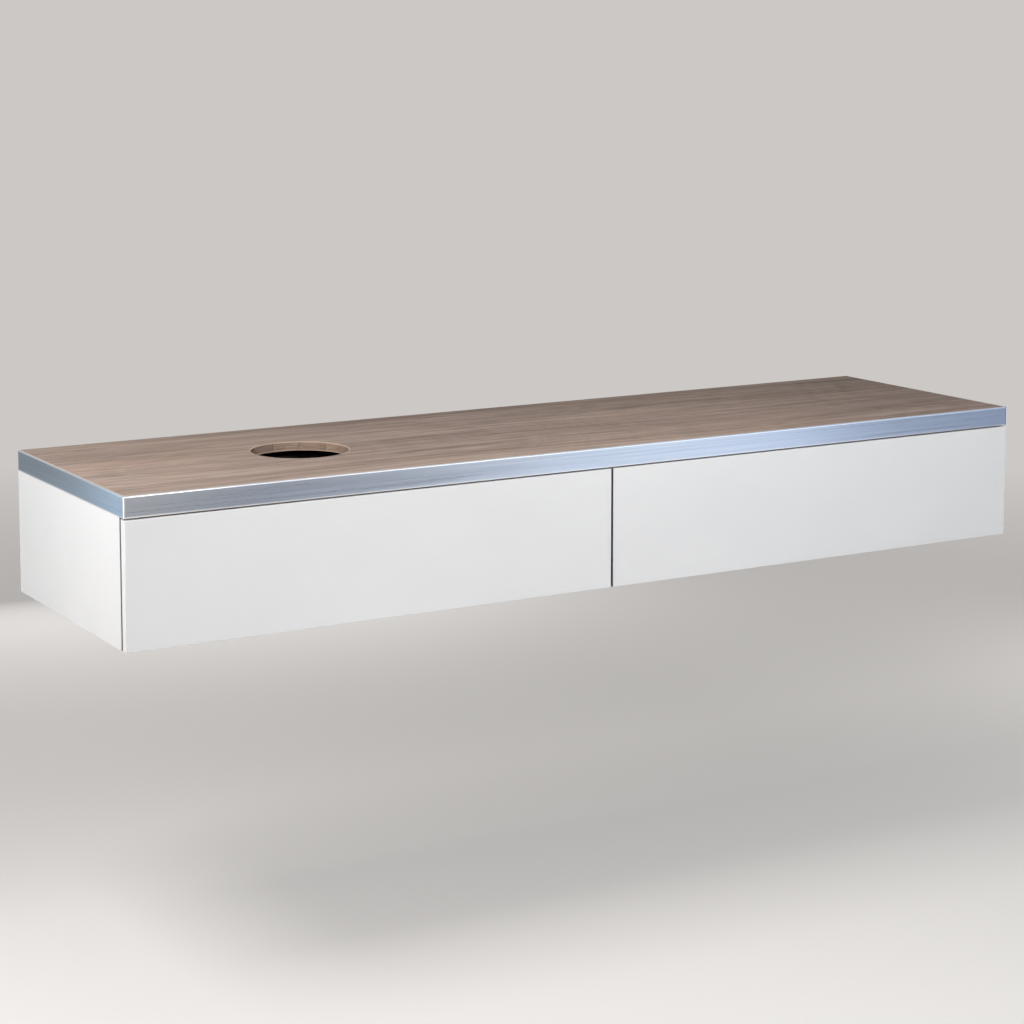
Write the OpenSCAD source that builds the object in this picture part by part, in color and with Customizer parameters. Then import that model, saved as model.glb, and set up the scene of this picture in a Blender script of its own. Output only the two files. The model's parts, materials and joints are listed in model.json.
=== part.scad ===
// Wall-hung vanity console: a wood decor top with an aluminium band and a basin
// cut-out, over a white cabinet with two full-extension push-to-open drawers.
// X runs along the front, +Y points into the wall and +Z is up. The origin is the
// middle of the wall rail's line of screw holes, on the wall's face.

/* [Overall size] */
// Width over the side panels
console_width = 1800; // [1500:10:2200]
// Depth from the wall to the face of the drawer fronts
console_depth = 490; // [460:5:560]
// Height from the underside to the top surface
console_height = 248; // [236:1:300]

/* [Top] */
// Thickness of the wood decor board
top_thickness = 16; // [14:1:22]
// Height of the aluminium band
band_height = 35; // [30:1:42]
// Thickness of the aluminium band
band_thickness = 4; // [3:0.5:6]
// Radius on the band's upper edge
band_edge_radius = 2.5; // [0.5:0.5:2.5]
// Radius on the band's two front corners, seen from above
band_corner_radius = 3; // [1:0.5:3.5]
// Width of the strips that double the board under its edges
strip_width = 60; // [50:1:75]

/* [Basin cut-out] */
// Clear diameter of the cut-out
cutout_diameter = 170; // [130:5:190]
// Distance from the left end to the cut-out's centre
cutout_from_left = 420; // [380:5:460]
// Distance from the front to the cut-out's centre
cutout_from_front = 249; // [230:1:270]
// Thickness of the lining round the cut-out
lining_thickness = 1.5; // [1:0.5:3]

/* [Cabinet] */
// Thickness of the cabinet's panels and rails
panel_thickness = 16; // [15:1:19]
// Thickness of the back panel
back_thickness = 8; // [6:1:10]
// Space between the wall and the back panel
back_setback = 14; // [12:1:20]
// Depth of the two rails under the top
rail_depth = 80; // [70:1:100]
// Width of the opening for the pipes in the back panel
service_width = 300; // [200:10:320]
// Height of the opening for the pipes in the back panel
service_height = 80; // [60:1:84]

/* [Drawer fronts] */
// Thickness of a drawer front
front_thickness = 16; // [14:1:22]
// Gap between the two fronts
front_gap = 4; // [2:0.5:6]
// Gap between the band and the fronts
front_top_gap = 3; // [2:0.5:5]
// Gap behind the fronts, which the push-to-open needs
press_gap = 3; // [2.5:0.5:5]
// Setback of a front's outer edge from the end of the console
front_inset = 1.5; // [0.5:0.5:4]
// Small chamfer on the lacquered edges
edge_chamfer = 0.8; // [0.4:0.1:1.5]

/* [Drawer boxes] */
// Height of the box sides
box_height = 145; // [120:1:148]
// Thickness of the box sides, back and inner front
box_board = 15; // [12:1:16]
// Thickness of the box bottom
box_bottom = 8; // [6:1:10]
// Gap between the cabinet floor and the box
box_floor_gap = 10; // [6:1:14]
// Height of the bottom's groove above the lower edge of the sides
groove_rise = 12; // [10:1:16]
// Depth of the groove that holds the bottom
groove_depth = 7; // [5:0.5:9]
// Clear width of the recess round the trap
trap_width = 220; // [200:5:260]
// Reach of that recess in front of the cut-out's centre
trap_reach = 110; // [100:1:130]
// Wall of the moulded surround that lines the recess
surround_wall = 3; // [2:0.5:4]
// Width of the surround's foot flange
surround_flange = 10; // [6:1:16]
// Height of the surround below the top edge of the box
surround_drop = 15; // [5:1:30]

/* [Slides] */
// Travel of a drawer
drawer_travel = 390; // [300:5:395]
// Height of a slide
slide_height = 45; // [40:1:50]
// Width of a slide between the cabinet and the box
slide_width = 13; // [12.8:0.1:14]
// Height of the slide's centre line above the lower edge of the box
slide_rise = 55; // [45:1:80]
// Sheet thickness of the slide members
slide_steel = 1.2; // [1:0.1:1.3]
// Diameter of the bearing balls
ball_diameter = 3.1; // [2.8:0.1:3.4]
// Number of balls in a row
balls_per_row = 6; // [4:1:8]
// Spacing of the balls
ball_pitch = 18; // [12:1:20]

/* [Push latches] */
// Distance of each latch from the middle of its drawer
latch_offset = 300; // [200:10:320]
// Length of a latch housing
latch_length = 38; // [32:1:42]
// Width of a latch housing
latch_width = 18; // [16:1:24]
// Height of a latch housing
latch_height = 28; // [26:1:34]
// Diameter of the plunger
plunger_diameter = 8; // [6:0.5:9]
// Reach of the plunger in front of its housing
plunger_reach = 10.7; // [8:0.1:14]
// Travel of the plunger when the front is pressed
press_travel = 4; // [3:0.5:6]

/* [Wall fixing] */
// Height of the top surface above the line of wall screws
hang_drop = 110; // [108:1:118]
// Distance between neighbouring wall screws
wall_hole_pitch = 400; // [300:10:450]
// Number of wall screws
wall_hole_count = 4; // [2:1:4]
// Diameter of the holes for the wall screws
wall_hole_diameter = 8.5; // [6.5:0.5:10]
// Sheet thickness of the wall rail
rail_steel = 2; // [1.5:0.5:2.5]
// Distance from the wall to the front of the rail's lip
lip_reach = 8; // [7.5:0.5:9]
// Height of the lip's upper edge above the line of wall screws
lip_rise = 34; // [32:1:36]
// Thickness of the hook plates
hook_thickness = 4; // [3:0.5:5]

/* [Hidden] */
$fn = 48;

LEFT = -1;
RIGHT = 1;
SIDES = [LEFT, RIGHT];

// Colours
wood = [0.60, 0.52, 0.45];
wood_edge = [0.71, 0.61, 0.52];
bright_metal = [0.66, 0.71, 0.78];
lacquer = [0.93, 0.93, 0.92];
melamine = [0.22, 0.22, 0.23];
chipboard = [0.74, 0.65, 0.52];
zinc = [0.62, 0.64, 0.66];
dark_plastic = [0.28, 0.29, 0.30];
pale_plastic = [0.78, 0.79, 0.79];

// Clearances
fit_gap = 0.2;
run_gap = 0.3;
screw_gap = 0.1;
cut_over = 1;

// Heights
top_z = hang_drop;
board_z = top_z - top_thickness;
band_z = top_z - band_height;
rail_z = band_z - panel_thickness;
floor_z = top_z - console_height;
deck_z = floor_z + panel_thickness;

// Plan
half_width = console_width / 2;
inner_half = half_width - panel_thickness;
front_y = -console_depth;
box_front_y = front_y + front_thickness;
carcass_front_y = box_front_y + press_gap;
back_y = -back_setback;
back_front_y = back_y - back_thickness;
cutout_x = cutout_from_left - half_width;
cutout_y = front_y + cutout_from_front;
glue_gap = 0.05;

// Drawer bays and boxes
bay_width = inner_half - panel_thickness / 2;
bay_offset = (inner_half + panel_thickness / 2) / 2;
box_width = bay_width - 2 * slide_width;
box_z = deck_z + box_floor_gap;
box_top_z = box_z + box_height;
bottom_z = box_z + groove_rise;
bottom_top_z = bottom_z + box_bottom;
box_back_y = back_front_y - latch_length - plunger_reach - run_gap;
box_inner_half = box_width / 2 - box_board;

// Recess round the trap
trap_half = trap_width / 2;
trap_front_y = cutout_y - trap_reach;
surround_half = trap_half + surround_wall;
surround_front_y = trap_front_y - surround_wall;

// Slides, in a section where u runs from the cabinet to the box
slide_z = box_z + slide_rise;
slide_half = slide_height / 2;
race_gap = ball_diameter + fit_gap;
middle_half = slide_half - slide_steel - race_gap;
runner_half = middle_half - slide_steel - race_gap;
web_gap = 1.2;
lip_gap = 0.6;
lip_drop = 1.2;
base_box_gap = 2;
base_reach = slide_width - base_box_gap;
middle_u = slide_steel + web_gap;
middle_reach = base_reach - slide_steel - lip_gap;
runner_u = middle_u + slide_steel + web_gap + fit_gap;
cage_sheet = 0.6;
cage_strip = 1;
cage_strip_width = 4;
base_front_gap = 3;
base_rear_over = 6;
base_front_y = carcass_front_y + base_front_gap;
base_rear_y = box_back_y + base_rear_over;
middle_trim = 4;
middle_front_y = base_front_y + middle_trim;
middle_rear_y = base_rear_y - 2 * middle_trim;
runner_front_gap = 2;
runner_front_y = box_front_y + runner_front_gap;
runner_rear_y = box_back_y;
slide_screw_from_end = 15;
slide_screw_diameter = 3.5;
slide_screw_head = 7;
slide_screw_head_height = 0.7;
slide_screw_bite = 7;
cage_length = ball_pitch * balls_per_row;
outer_cage_travel = drawer_travel / 4;
inner_cage_travel = drawer_travel * 3 / 4;
outer_cage_y = (base_front_y + middle_rear_y - drawer_travel / 2) / 2 + outer_cage_travel;
inner_cage_y = (middle_front_y - drawer_travel / 2 + runner_rear_y - drawer_travel) / 2
    + inner_cage_travel;

// Fasteners
top_screw_count = 4;
top_screw_from_end = 150;
top_screw_diameter = 4;
top_screw_head = 8;
top_screw_head_height = 2.5;
top_screw_bite = 10;
front_screw_pitch = 290;
front_screw_rises = [32, 108];
front_screw_diameter = 4;
front_screw_head = 8;
front_screw_head_height = 2;
front_screw_bite = 12;
cam_diameter = 15;
cam_depth = 12;
cam_from_end = 34;
cam_from_edge = 60;
cam_bolt_diameter = 6;
cam_bolt_bite = 11;

// Latches
plunger_lift = 2;
latch_z = deck_z + latch_height / 2 + plunger_lift;
latch_front_y = back_front_y - latch_length;
plunger_bore_depth = 30;
plunger_tip_y = box_back_y + run_gap;
spring_room = 10;
plunger_length = plunger_reach + plunger_bore_depth - press_travel - spring_room;
plunger_pad = 2;
plunger_pad_rim = 1;
plunger_pad_diameter = plunger_diameter + 2 * plunger_pad_rim;

// Wall rail and hangers
wall_rail_end_gap = 4;
rail_foot = 20;
lip_height = 22;
step_z = lip_rise - lip_height;
service_gap = 4;
service_top_z = -rail_foot - service_gap;
hanger_width = 18;
hanger_depth = 40;
hanger_low_z = 12;
hanger_high_z = 56;
hook_low_z = 26;
hook_high_z = 46;
hook_tail = 32;
hook_finger = 3;
hook_corner = 2;
hook_tip_gap = 4;
hook_tip_z = step_z + rail_steel + hook_tip_gap;
hook_back_y = -lip_reach - run_gap;
hook_slot_y = -lip_reach + rail_steel + run_gap;
hook_end_y = hook_slot_y + hook_finger;
hook_tail_y = back_front_y - hook_tail;
hook_slot_play = 3;
hanger_peg_diameter = 10;
hanger_peg_length = 11;
hanger_screw_diameter = 5;
hanger_screw_head = 8;
hanger_screw_head_height = 2.5;
hanger_screw_zs = [30, 42];
hanger_screw_tip_gap = 0.3;
hanger_pass = 6;
hanger_front_y = back_front_y - hanger_depth;
hanger_peg_from_back = [10, 30];
hanger_peg_zs = [20, 48];

// A straight block from three ranges
module block(x, y, z) {
    translate([x[0], y[0], z[0]])
        cube([x[1] - x[0], y[1] - y[0], z[1] - z[0]]);
}

// Extrudes a Y-Z outline along X
module along_x(x) {
    translate([x[0], 0, 0])
        rotate([90, 0, 90])
            linear_extrude(x[1] - x[0])
                children();
}

// Extrudes an X-Z outline along Y
module along_y(y) {
    translate([0, y[1], 0])
        rotate([90, 0, 0])
            linear_extrude(y[1] - y[0])
                children();
}

// A round bar along X, Y or Z between two places on that axis
module bar_x(x, d) {
    translate([x[0], 0, 0]) rotate([0, 90, 0]) cylinder(h = x[1] - x[0], d = d);
}

module bar_y(y, d) {
    translate([0, y[1], 0]) rotate([90, 0, 0]) cylinder(h = y[1] - y[0], d = d);
}

module bar_z(z, d) {
    translate([0, 0, z[0]]) cylinder(h = z[1] - z[0], d = d);
}

// A board whose front face and ends have small chamfers
module faced_board(x, y, z, chamfer) {
    intersection() {
        along_x(x)
            polygon([
                [y[0] + chamfer, z[0]], [y[1], z[0]], [y[1], z[1]],
                [y[0] + chamfer, z[1]], [y[0], z[1] - chamfer], [y[0], z[0] + chamfer]
            ]);
        translate([0, 0, z[0]])
            linear_extrude(z[1] - z[0])
                polygon([
                    [x[0] + chamfer, y[0]], [x[1] - chamfer, y[0]], [x[1], y[0] + chamfer],
                    [x[1], y[1]], [x[0], y[1]], [x[0], y[0] + chamfer]
                ]);
    }
}

// The corner piece that a radius takes off, with its sharp corner at the origin
module corner_waste(r) {
    difference() {
        translate([-r, -r]) square(r + cut_over);
        translate([-r, -r]) circle(r);
    }
}

// Top

module top_board() color(wood)
    difference() {
        block([-half_width + band_thickness, half_width - band_thickness],
            [front_y + band_thickness, 0], [board_z, top_z]);
        translate([cutout_x, cutout_y, 0])
            bar_z([board_z - cut_over, top_z + cut_over],
                cutout_diameter + 2 * (lining_thickness + glue_gap));
        top_screw_bores();
    }

module cutout_lining() color(wood_edge)
    translate([cutout_x, cutout_y, 0])
        difference() {
            bar_z([board_z, top_z], cutout_diameter + 2 * lining_thickness);
            bar_z([board_z - cut_over, top_z + cut_over], cutout_diameter);
        }

// The band's section, with its face at zero and its upper edge rounded
module band_section() {
    difference() {
        translate([0, band_z]) square([band_thickness, band_height]);
        translate([0, top_z]) mirror([1, 0]) corner_waste(band_edge_radius);
    }
}

// The plan of the mitred band, rounded at the two front corners
module band_plan() {
    difference() {
        translate([-half_width, front_y]) square([console_width, console_depth]);
        translate([half_width, front_y]) mirror([0, 1]) corner_waste(band_corner_radius);
        translate([-half_width, front_y]) rotate(180) corner_waste(band_corner_radius);
    }
}

module front_band() color(bright_metal)
    intersection() {
        along_x([-half_width, half_width])
            translate([front_y, 0]) band_section();
        translate([0, 0, band_z])
            linear_extrude(band_height)
                intersection() {
                    band_plan();
                    polygon([
                        [-half_width, front_y], [half_width, front_y],
                        [half_width - band_thickness, front_y + band_thickness],
                        [-half_width + band_thickness, front_y + band_thickness]
                    ]);
                }
    }

module left_end_band() {
    intersection() {
        along_y([front_y, 0])
            translate([-half_width, 0]) band_section();
        translate([0, 0, band_z])
            linear_extrude(band_height)
                intersection() {
                    band_plan();
                    polygon([
                        [-half_width, front_y],
                        [-half_width + band_thickness, front_y + band_thickness],
                        [-half_width + band_thickness, 0], [-half_width, 0]
                    ]);
                }
    }
}

module left_band() color(bright_metal)
    left_end_band();

module right_band() color(bright_metal)
    mirror([1, 0, 0]) left_end_band();

module front_strip() color(chipboard)
    difference() {
        block([-half_width + band_thickness, half_width - band_thickness],
            [front_y + band_thickness, front_y + band_thickness + strip_width],
            [band_z, board_z]);
        top_screw_bores();
    }

module rear_strip() color(chipboard)
    difference() {
        block([-half_width + band_thickness, half_width - band_thickness],
            [-strip_width, 0], [band_z, board_z]);
        top_screw_bores();
    }

module end_strip() {
    block([-half_width + band_thickness, -half_width + band_thickness + strip_width],
        [front_y + band_thickness + strip_width, -strip_width], [band_z, board_z]);
}

module left_strip() color(chipboard)
    end_strip();

module right_strip() color(chipboard)
    mirror([1, 0, 0]) end_strip();

// Cabinet

// A side panel on the left, chamfered on its outer face's front and lower edges
module side_panel_body() {
    intersection() {
        block([-half_width, -inner_half], [carcass_front_y, 0], [floor_z, band_z]);
        along_y([carcass_front_y, 0])
            polygon([
                [-half_width, band_z], [-inner_half, band_z], [-inner_half, floor_z],
                [-half_width + edge_chamfer, floor_z], [-half_width, floor_z + edge_chamfer]
            ]);
        translate([0, 0, floor_z])
            linear_extrude(band_z - floor_z)
                polygon([
                    [-half_width, 0], [-inner_half, 0], [-inner_half, carcass_front_y],
                    [-half_width + edge_chamfer, carcass_front_y],
                    [-half_width, carcass_front_y + edge_chamfer]
                ]);
    }
}

module left_side_panel() color(lacquer)
    difference() {
        side_panel_body();
        cam_bores();
        hanger_peg_bores();
        slide_screw_bores();
    }

module right_side_panel() color(lacquer)
    difference() {
        mirror([1, 0, 0]) side_panel_body();
        cam_bores();
        hanger_peg_bores();
        slide_screw_bores();
    }

module centre_partition() color(melamine)
    difference() {
        block([-panel_thickness / 2, panel_thickness / 2],
            [carcass_front_y, back_front_y], [deck_z, rail_z]);
        slide_screw_bores();
    }

module bottom_panel() color(melamine)
    difference() {
        block([-inner_half, inner_half], [carcass_front_y, back_front_y], [floor_z, deck_z]);
        cam_bores();
    }

module back_panel() color(melamine)
    difference() {
        block([-inner_half, inner_half], [back_front_y, back_y], [floor_z, band_z]);
        block([cutout_x - service_width / 2, cutout_x + service_width / 2],
            [back_front_y - cut_over, back_y + cut_over],
            [service_top_z - service_height, service_top_z]);
        for (side = SIDES)
            mirror([side == RIGHT ? 1 : 0, 0, 0])
                block([-inner_half - cut_over, -inner_half + hanger_width],
                    [back_front_y - cut_over, back_y + cut_over],
                    [hook_low_z - hanger_pass, hook_high_z + hanger_pass]);
    }

module top_rail(y) {
    difference() {
        block([-inner_half, inner_half], y, [rail_z, band_z]);
        top_screw_bores();
        cam_bores();
    }
}

module front_rail() color(melamine)
    top_rail([carcass_front_y, carcass_front_y + rail_depth]);

module rear_rail() color(melamine)
    top_rail([back_front_y - rail_depth, back_front_y]);

// Wall fixing

module wall_rail() color(zinc)
    difference() {
        along_x([-inner_half + wall_rail_end_gap, inner_half - wall_rail_end_gap])
            polygon([
                [0, -rail_foot], [0, step_z + rail_steel],
                [-lip_reach + rail_steel, step_z + rail_steel],
                [-lip_reach + rail_steel, lip_rise], [-lip_reach, lip_rise],
                [-lip_reach, step_z], [-rail_steel, step_z], [-rail_steel, -rail_foot]
            ]);
        for (i = [0 : wall_hole_count - 1])
            translate([(i - (wall_hole_count - 1) / 2) * wall_hole_pitch, 0, 0])
                bar_y([-rail_steel - cut_over, cut_over], wall_hole_diameter);
    }

// Places a left-hand hanger piece at both ends of the cabinet
module at_hangers() {
    for (side = SIDES)
        mirror([side == RIGHT ? 1 : 0, 0, 0])
            translate([-inner_half, 0, 0])
                children();
}

// Places a hanger's two pegs, the lower one nearer to the back panel
module at_hanger_pegs() {
    for (i = [0, 1])
        translate([0, back_front_y - hanger_peg_from_back[i], hanger_peg_zs[i]])
            children();
}

module hanger_peg_bores() {
    at_hangers()
        at_hanger_pegs()
            bar_x([-hanger_peg_length - fit_gap, cut_over], hanger_peg_diameter + 2 * screw_gap);
}

module hanger_housings() color(pale_plastic)
    at_hangers() {
        difference() {
            block([0, hanger_width], [hanger_front_y, back_front_y],
                [hanger_low_z, hanger_high_z]);
            block([hanger_width / 2 - hook_thickness / 2 - run_gap,
                    hanger_width / 2 + hook_thickness / 2 + run_gap],
                [hook_tail_y - hook_slot_play, back_front_y + cut_over],
                [hook_low_z - hook_slot_play, hook_high_z + hook_slot_play]);
            for (z = hanger_screw_zs)
                translate([hanger_width / 2, 0, z])
                    bar_y([hanger_front_y - cut_over, hook_tail_y],
                        hanger_screw_diameter + 2 * screw_gap);
        }
        at_hanger_pegs()
            bar_x([-hanger_peg_length, cut_over], hanger_peg_diameter);
    }

module hanger_hooks() color(zinc)
    at_hangers()
        along_x([hanger_width / 2 - hook_thickness / 2, hanger_width / 2 + hook_thickness / 2])
            polygon([
                [hook_tail_y, hook_low_z], [hook_back_y, hook_low_z],
                [hook_back_y, lip_rise], [hook_slot_y, lip_rise],
                [hook_slot_y, hook_tip_z], [hook_end_y, hook_tip_z],
                [hook_end_y, hook_high_z - hook_corner],
                [hook_end_y - hook_corner, hook_high_z],
                [hook_tail_y, hook_high_z]
            ]);

module hanger_screws() color(zinc)
    at_hangers()
        for (z = hanger_screw_zs)
            translate([hanger_width / 2, 0, z]) {
                bar_y([hanger_front_y - cut_over, hook_tail_y - hanger_screw_tip_gap],
                    hanger_screw_diameter);
                bar_y([hanger_front_y - hanger_screw_head_height, hanger_front_y],
                    hanger_screw_head);
            }

// Fasteners

// Places a vertical screw through each rail at each column of top screws
module at_top_screws() {
    column_pitch = (console_width - 2 * top_screw_from_end) / (top_screw_count - 1);
    front_row_y = (carcass_front_y + front_y + band_thickness + strip_width) / 2;
    rear_row_y = (back_front_y - strip_width) / 2;
    for (i = [0 : top_screw_count - 1], y = [front_row_y, rear_row_y])
        translate([-half_width + top_screw_from_end + i * column_pitch, y, 0])
            children();
}

module top_screw_bores() {
    at_top_screws()
        bar_z([rail_z - cut_over, board_z + top_screw_bite + fit_gap],
            top_screw_diameter + 2 * screw_gap);
}

module top_screws() color(zinc)
    at_top_screws() {
        bar_z([rail_z - cut_over, board_z + top_screw_bite], top_screw_diameter);
        bar_z([rail_z - top_screw_head_height, rail_z], top_screw_head);
    }

// Places a fitting at each end of the rails and of the bottom panel. Its disc is let
// into the face that looks into the cabinet, and its bolt runs out to the side panel.
module at_cams() {
    rail_middle_z = band_z - panel_thickness / 2;
    deck_middle_z = deck_z - panel_thickness / 2;
    places = [
        [carcass_front_y + rail_depth / 2, rail_middle_z, 1],
        [back_front_y - rail_depth / 2, rail_middle_z, 1],
        [carcass_front_y + cam_from_edge, deck_middle_z, 0],
        [back_front_y - cam_from_edge, deck_middle_z, 0]
    ];
    for (side = SIDES, place = places)
        translate([side * inner_half, place[0], place[1]])
            mirror([side == RIGHT ? 1 : 0, 0, 0])
                mirror([0, 0, place[2]])
                    children();
}

module cam_bores() {
    disc_top = panel_thickness / 2;
    at_cams() {
        translate([cam_from_end, 0, 0])
            bar_z([disc_top - cam_depth - fit_gap, disc_top + cut_over],
                cam_diameter + 2 * screw_gap);
        bar_x([-cam_bolt_bite - fit_gap, cam_from_end], cam_bolt_diameter + 2 * screw_gap);
    }
}

module cam_fittings() color(zinc) {
    disc_top = panel_thickness / 2;
    at_cams() {
        difference() {
            translate([cam_from_end, 0, 0])
                bar_z([disc_top - cam_depth, disc_top], cam_diameter);
            bar_x([0, cam_from_end + cam_bolt_diameter / 2 + run_gap],
                cam_bolt_diameter + 2 * run_gap);
        }
        bar_x([-cam_bolt_bite, cam_from_end + cam_bolt_diameter / 2], cam_bolt_diameter);
    }
}

// Slides

// Places a slide on one wall of one bay, with u running from the wall to the box
module at_slide(drawer, wall) {
    translate([drawer * bay_offset + wall * bay_width / 2, 0, slide_z])
        mirror([wall == RIGHT ? 1 : 0, 0, 0])
            children();
}

// The upper half of a channel: a web and a flange
module channel_half(u, web_u, half) {
    translate([web_u, 0]) square([slide_steel, half]);
    translate([u[0], half - slide_steel]) square([u[1] - u[0], slide_steel]);
}

module both_halves() {
    children();
    mirror([0, 1]) children();
}

module slide_base(drawer, wall) color(zinc)
    difference() {
        at_slide(drawer, wall)
            along_y([base_front_y, base_rear_y])
                both_halves() {
                    channel_half([0, base_reach], 0, slide_half);
                    translate([base_reach - slide_steel, slide_half - slide_steel - lip_drop])
                        square([slide_steel, lip_drop + slide_steel]);
                }
        slide_screw_bores();
    }

module slide_middle(drawer, wall) color(zinc)
    at_slide(drawer, wall)
        along_y([middle_front_y, middle_rear_y])
            both_halves()
                channel_half([middle_u, middle_reach], middle_u, middle_half);

module slide_runner(drawer, wall) color(zinc)
    at_slide(drawer, wall)
        along_y([runner_front_y, runner_rear_y])
            both_halves()
                channel_half([runner_u, slide_width], slide_width - slide_steel, runner_half);

// A cage's strip over one row of balls, with the balls in it
module ball_row(u, row_z, y) {
    translate([u, 0, 0])
        along_y([y - cage_length / 2, y + cage_length / 2])
            translate([0, row_z - cage_strip / 2])
                square([cage_strip_width, cage_strip]);
    for (i = [0 : balls_per_row - 1])
        translate([u + cage_strip_width / 2, y + (i - (balls_per_row - 1) / 2) * ball_pitch, row_z])
            sphere(d = ball_diameter);
}

// A cage: a thin web between two members and a row of balls above and below
module ball_cage(u, race_half, y) {
    row_z = race_half + race_gap / 2;
    for (flip = [0, 1])
        mirror([0, 0, flip]) {
            ball_row(u, row_z, y);
            translate([u, 0, 0])
                along_y([y - cage_length / 2, y + cage_length / 2])
                    square([cage_sheet, row_z + cage_strip / 2]);
        }
}

module outer_ball_cages(drawer) color(bright_metal)
    for (wall = SIDES)
        at_slide(drawer, wall)
            ball_cage(slide_steel + (web_gap - cage_sheet) / 2, middle_half, outer_cage_y);

module inner_ball_cages(drawer) color(bright_metal)
    for (wall = SIDES)
        at_slide(drawer, wall)
            ball_cage(middle_u + slide_steel + (web_gap - cage_sheet) / 2 + fit_gap / 2,
                runner_half, inner_cage_y);

// Places a short screw at both ends of each slide base
module at_slide_screws() {
    for (drawer = SIDES, wall = SIDES)
        at_slide(drawer, wall)
            for (y = [base_front_y + slide_screw_from_end, base_rear_y - slide_screw_from_end])
                translate([0, y, 0])
                    children();
}

module slide_screw_bores() {
    at_slide_screws()
        bar_x([-slide_screw_bite - fit_gap, slide_steel + cut_over],
            slide_screw_diameter + 2 * screw_gap);
}

module slide_screws() color(zinc)
    at_slide_screws() {
        bar_x([-slide_screw_bite, slide_steel + slide_screw_head_height / 2], slide_screw_diameter);
        bar_x([slide_steel, slide_steel + slide_screw_head_height], slide_screw_head);
    }

// Push latches

module at_latch(drawer, wall) {
    translate([drawer * bay_offset + wall * latch_offset, 0, 0])
        children();
}

module latch_housings() color(dark_plastic)
    for (drawer = SIDES, wall = SIDES)
        at_latch(drawer, wall)
            difference() {
                block([-latch_width / 2, latch_width / 2], [latch_front_y, back_front_y],
                    [deck_z, deck_z + latch_height]);
                translate([0, 0, latch_z])
                    bar_y([latch_front_y - cut_over, latch_front_y + plunger_bore_depth],
                        plunger_diameter + 2 * screw_gap);
            }

module plunger(drawer, wall) color(pale_plastic)
    at_latch(drawer, wall)
        translate([0, 0, latch_z]) {
            bar_y([plunger_tip_y, plunger_tip_y + plunger_length], plunger_diameter);
            bar_y([plunger_tip_y, plunger_tip_y + plunger_pad], plunger_pad_diameter);
        }

// Drawers

module drawer_front(drawer) color(lacquer)
    difference() {
        mirror([drawer == RIGHT ? 1 : 0, 0, 0])
            faced_board([-half_width + front_inset, -front_gap / 2], [front_y, box_front_y],
                [floor_z, band_z - front_top_gap], edge_chamfer);
        front_screw_bores(drawer);
    }

// The groove that holds the bottom, as a flat block wider than the bottom itself
module bottom_groove(drawer) {
    translate([drawer * bay_offset, 0, 0])
        block([-box_inner_half - groove_depth, box_inner_half + groove_depth],
            [box_front_y + box_board - groove_depth, box_back_y - box_board + groove_depth],
            [bottom_z, bottom_top_z + fit_gap]);
}

module inner_front(drawer) color(melamine)
    difference() {
        translate([drawer * bay_offset, 0, 0])
            block([-box_inner_half, box_inner_half], [box_front_y, box_front_y + box_board],
                [box_z, box_top_z]);
        bottom_groove(drawer);
        front_screw_bores(drawer);
    }

module drawer_side(drawer, wall) color(melamine)
    difference() {
        translate([drawer * bay_offset, 0, 0])
            mirror([wall == RIGHT ? 1 : 0, 0, 0])
                block([-box_width / 2, -box_inner_half], [box_front_y, box_back_y],
                    [box_z, box_top_z]);
        bottom_groove(drawer);
    }

module drawer_back(drawer) {
    difference() {
        translate([drawer * bay_offset, 0, 0])
            block([-box_inner_half, box_inner_half], [box_back_y - box_board, box_back_y],
                [box_z, box_top_z]);
        bottom_groove(drawer);
    }
}

module drawer_bottom(drawer) {
    reach = groove_depth - fit_gap;
    translate([drawer * bay_offset, 0, 0])
        block([-box_inner_half - reach, box_inner_half + reach],
            [box_front_y + box_board - reach, box_back_y - box_board + reach],
            [bottom_z, bottom_top_z]);
}

// The space that the trap surround takes out of the left drawer's boards
module trap_cut(gap) {
    block([cutout_x - surround_half - gap, cutout_x + surround_half + gap],
        [surround_front_y - gap, box_back_y + cut_over],
        [box_z - cut_over, box_top_z + cut_over]);
}

module trap_surround() color(dark_plastic)
    difference() {
        union() {
            block([cutout_x - surround_half, cutout_x + surround_half],
                [surround_front_y, box_back_y], [bottom_z, box_top_z - surround_drop]);
            block([cutout_x - surround_half - surround_flange,
                    cutout_x + surround_half + surround_flange],
                [surround_front_y - surround_flange, box_back_y - box_board - fit_gap],
                [bottom_top_z, bottom_top_z + surround_wall]);
        }
        block([cutout_x - trap_half, cutout_x + trap_half],
            [trap_front_y, box_back_y + cut_over],
            [bottom_z - cut_over, box_top_z]);
    }

// Places a screw at each fixing of a drawer front
module at_front_screws(drawer) {
    for (column = [-1, 0, 1], rise = front_screw_rises)
        translate([drawer * bay_offset + column * front_screw_pitch, 0, box_z + rise])
            children();
}

module front_screw_bores(drawer) {
    at_front_screws(drawer)
        bar_y([box_front_y - front_screw_bite - fit_gap, box_front_y + box_board + cut_over],
            front_screw_diameter + 2 * screw_gap);
}

module front_screws(drawer) color(zinc)
    at_front_screws(drawer) {
        bar_y([box_front_y - front_screw_bite, box_front_y + box_board + cut_over],
            front_screw_diameter);
        bar_y([box_front_y + box_board, box_front_y + box_board + front_screw_head_height],
            front_screw_head);
    }

module left_drawer_front() drawer_front(LEFT);
module left_drawer_inner_front() inner_front(LEFT);
module left_drawer_left_side() drawer_side(LEFT, LEFT);
module left_drawer_right_side() drawer_side(LEFT, RIGHT);

module left_drawer_back() color(melamine)
    difference() {
        drawer_back(LEFT);
        trap_cut(0);
    }

module left_drawer_bottom() color(melamine)
    difference() {
        drawer_bottom(LEFT);
        trap_cut(fit_gap);
    }

module left_front_screws() front_screws(LEFT);

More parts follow.
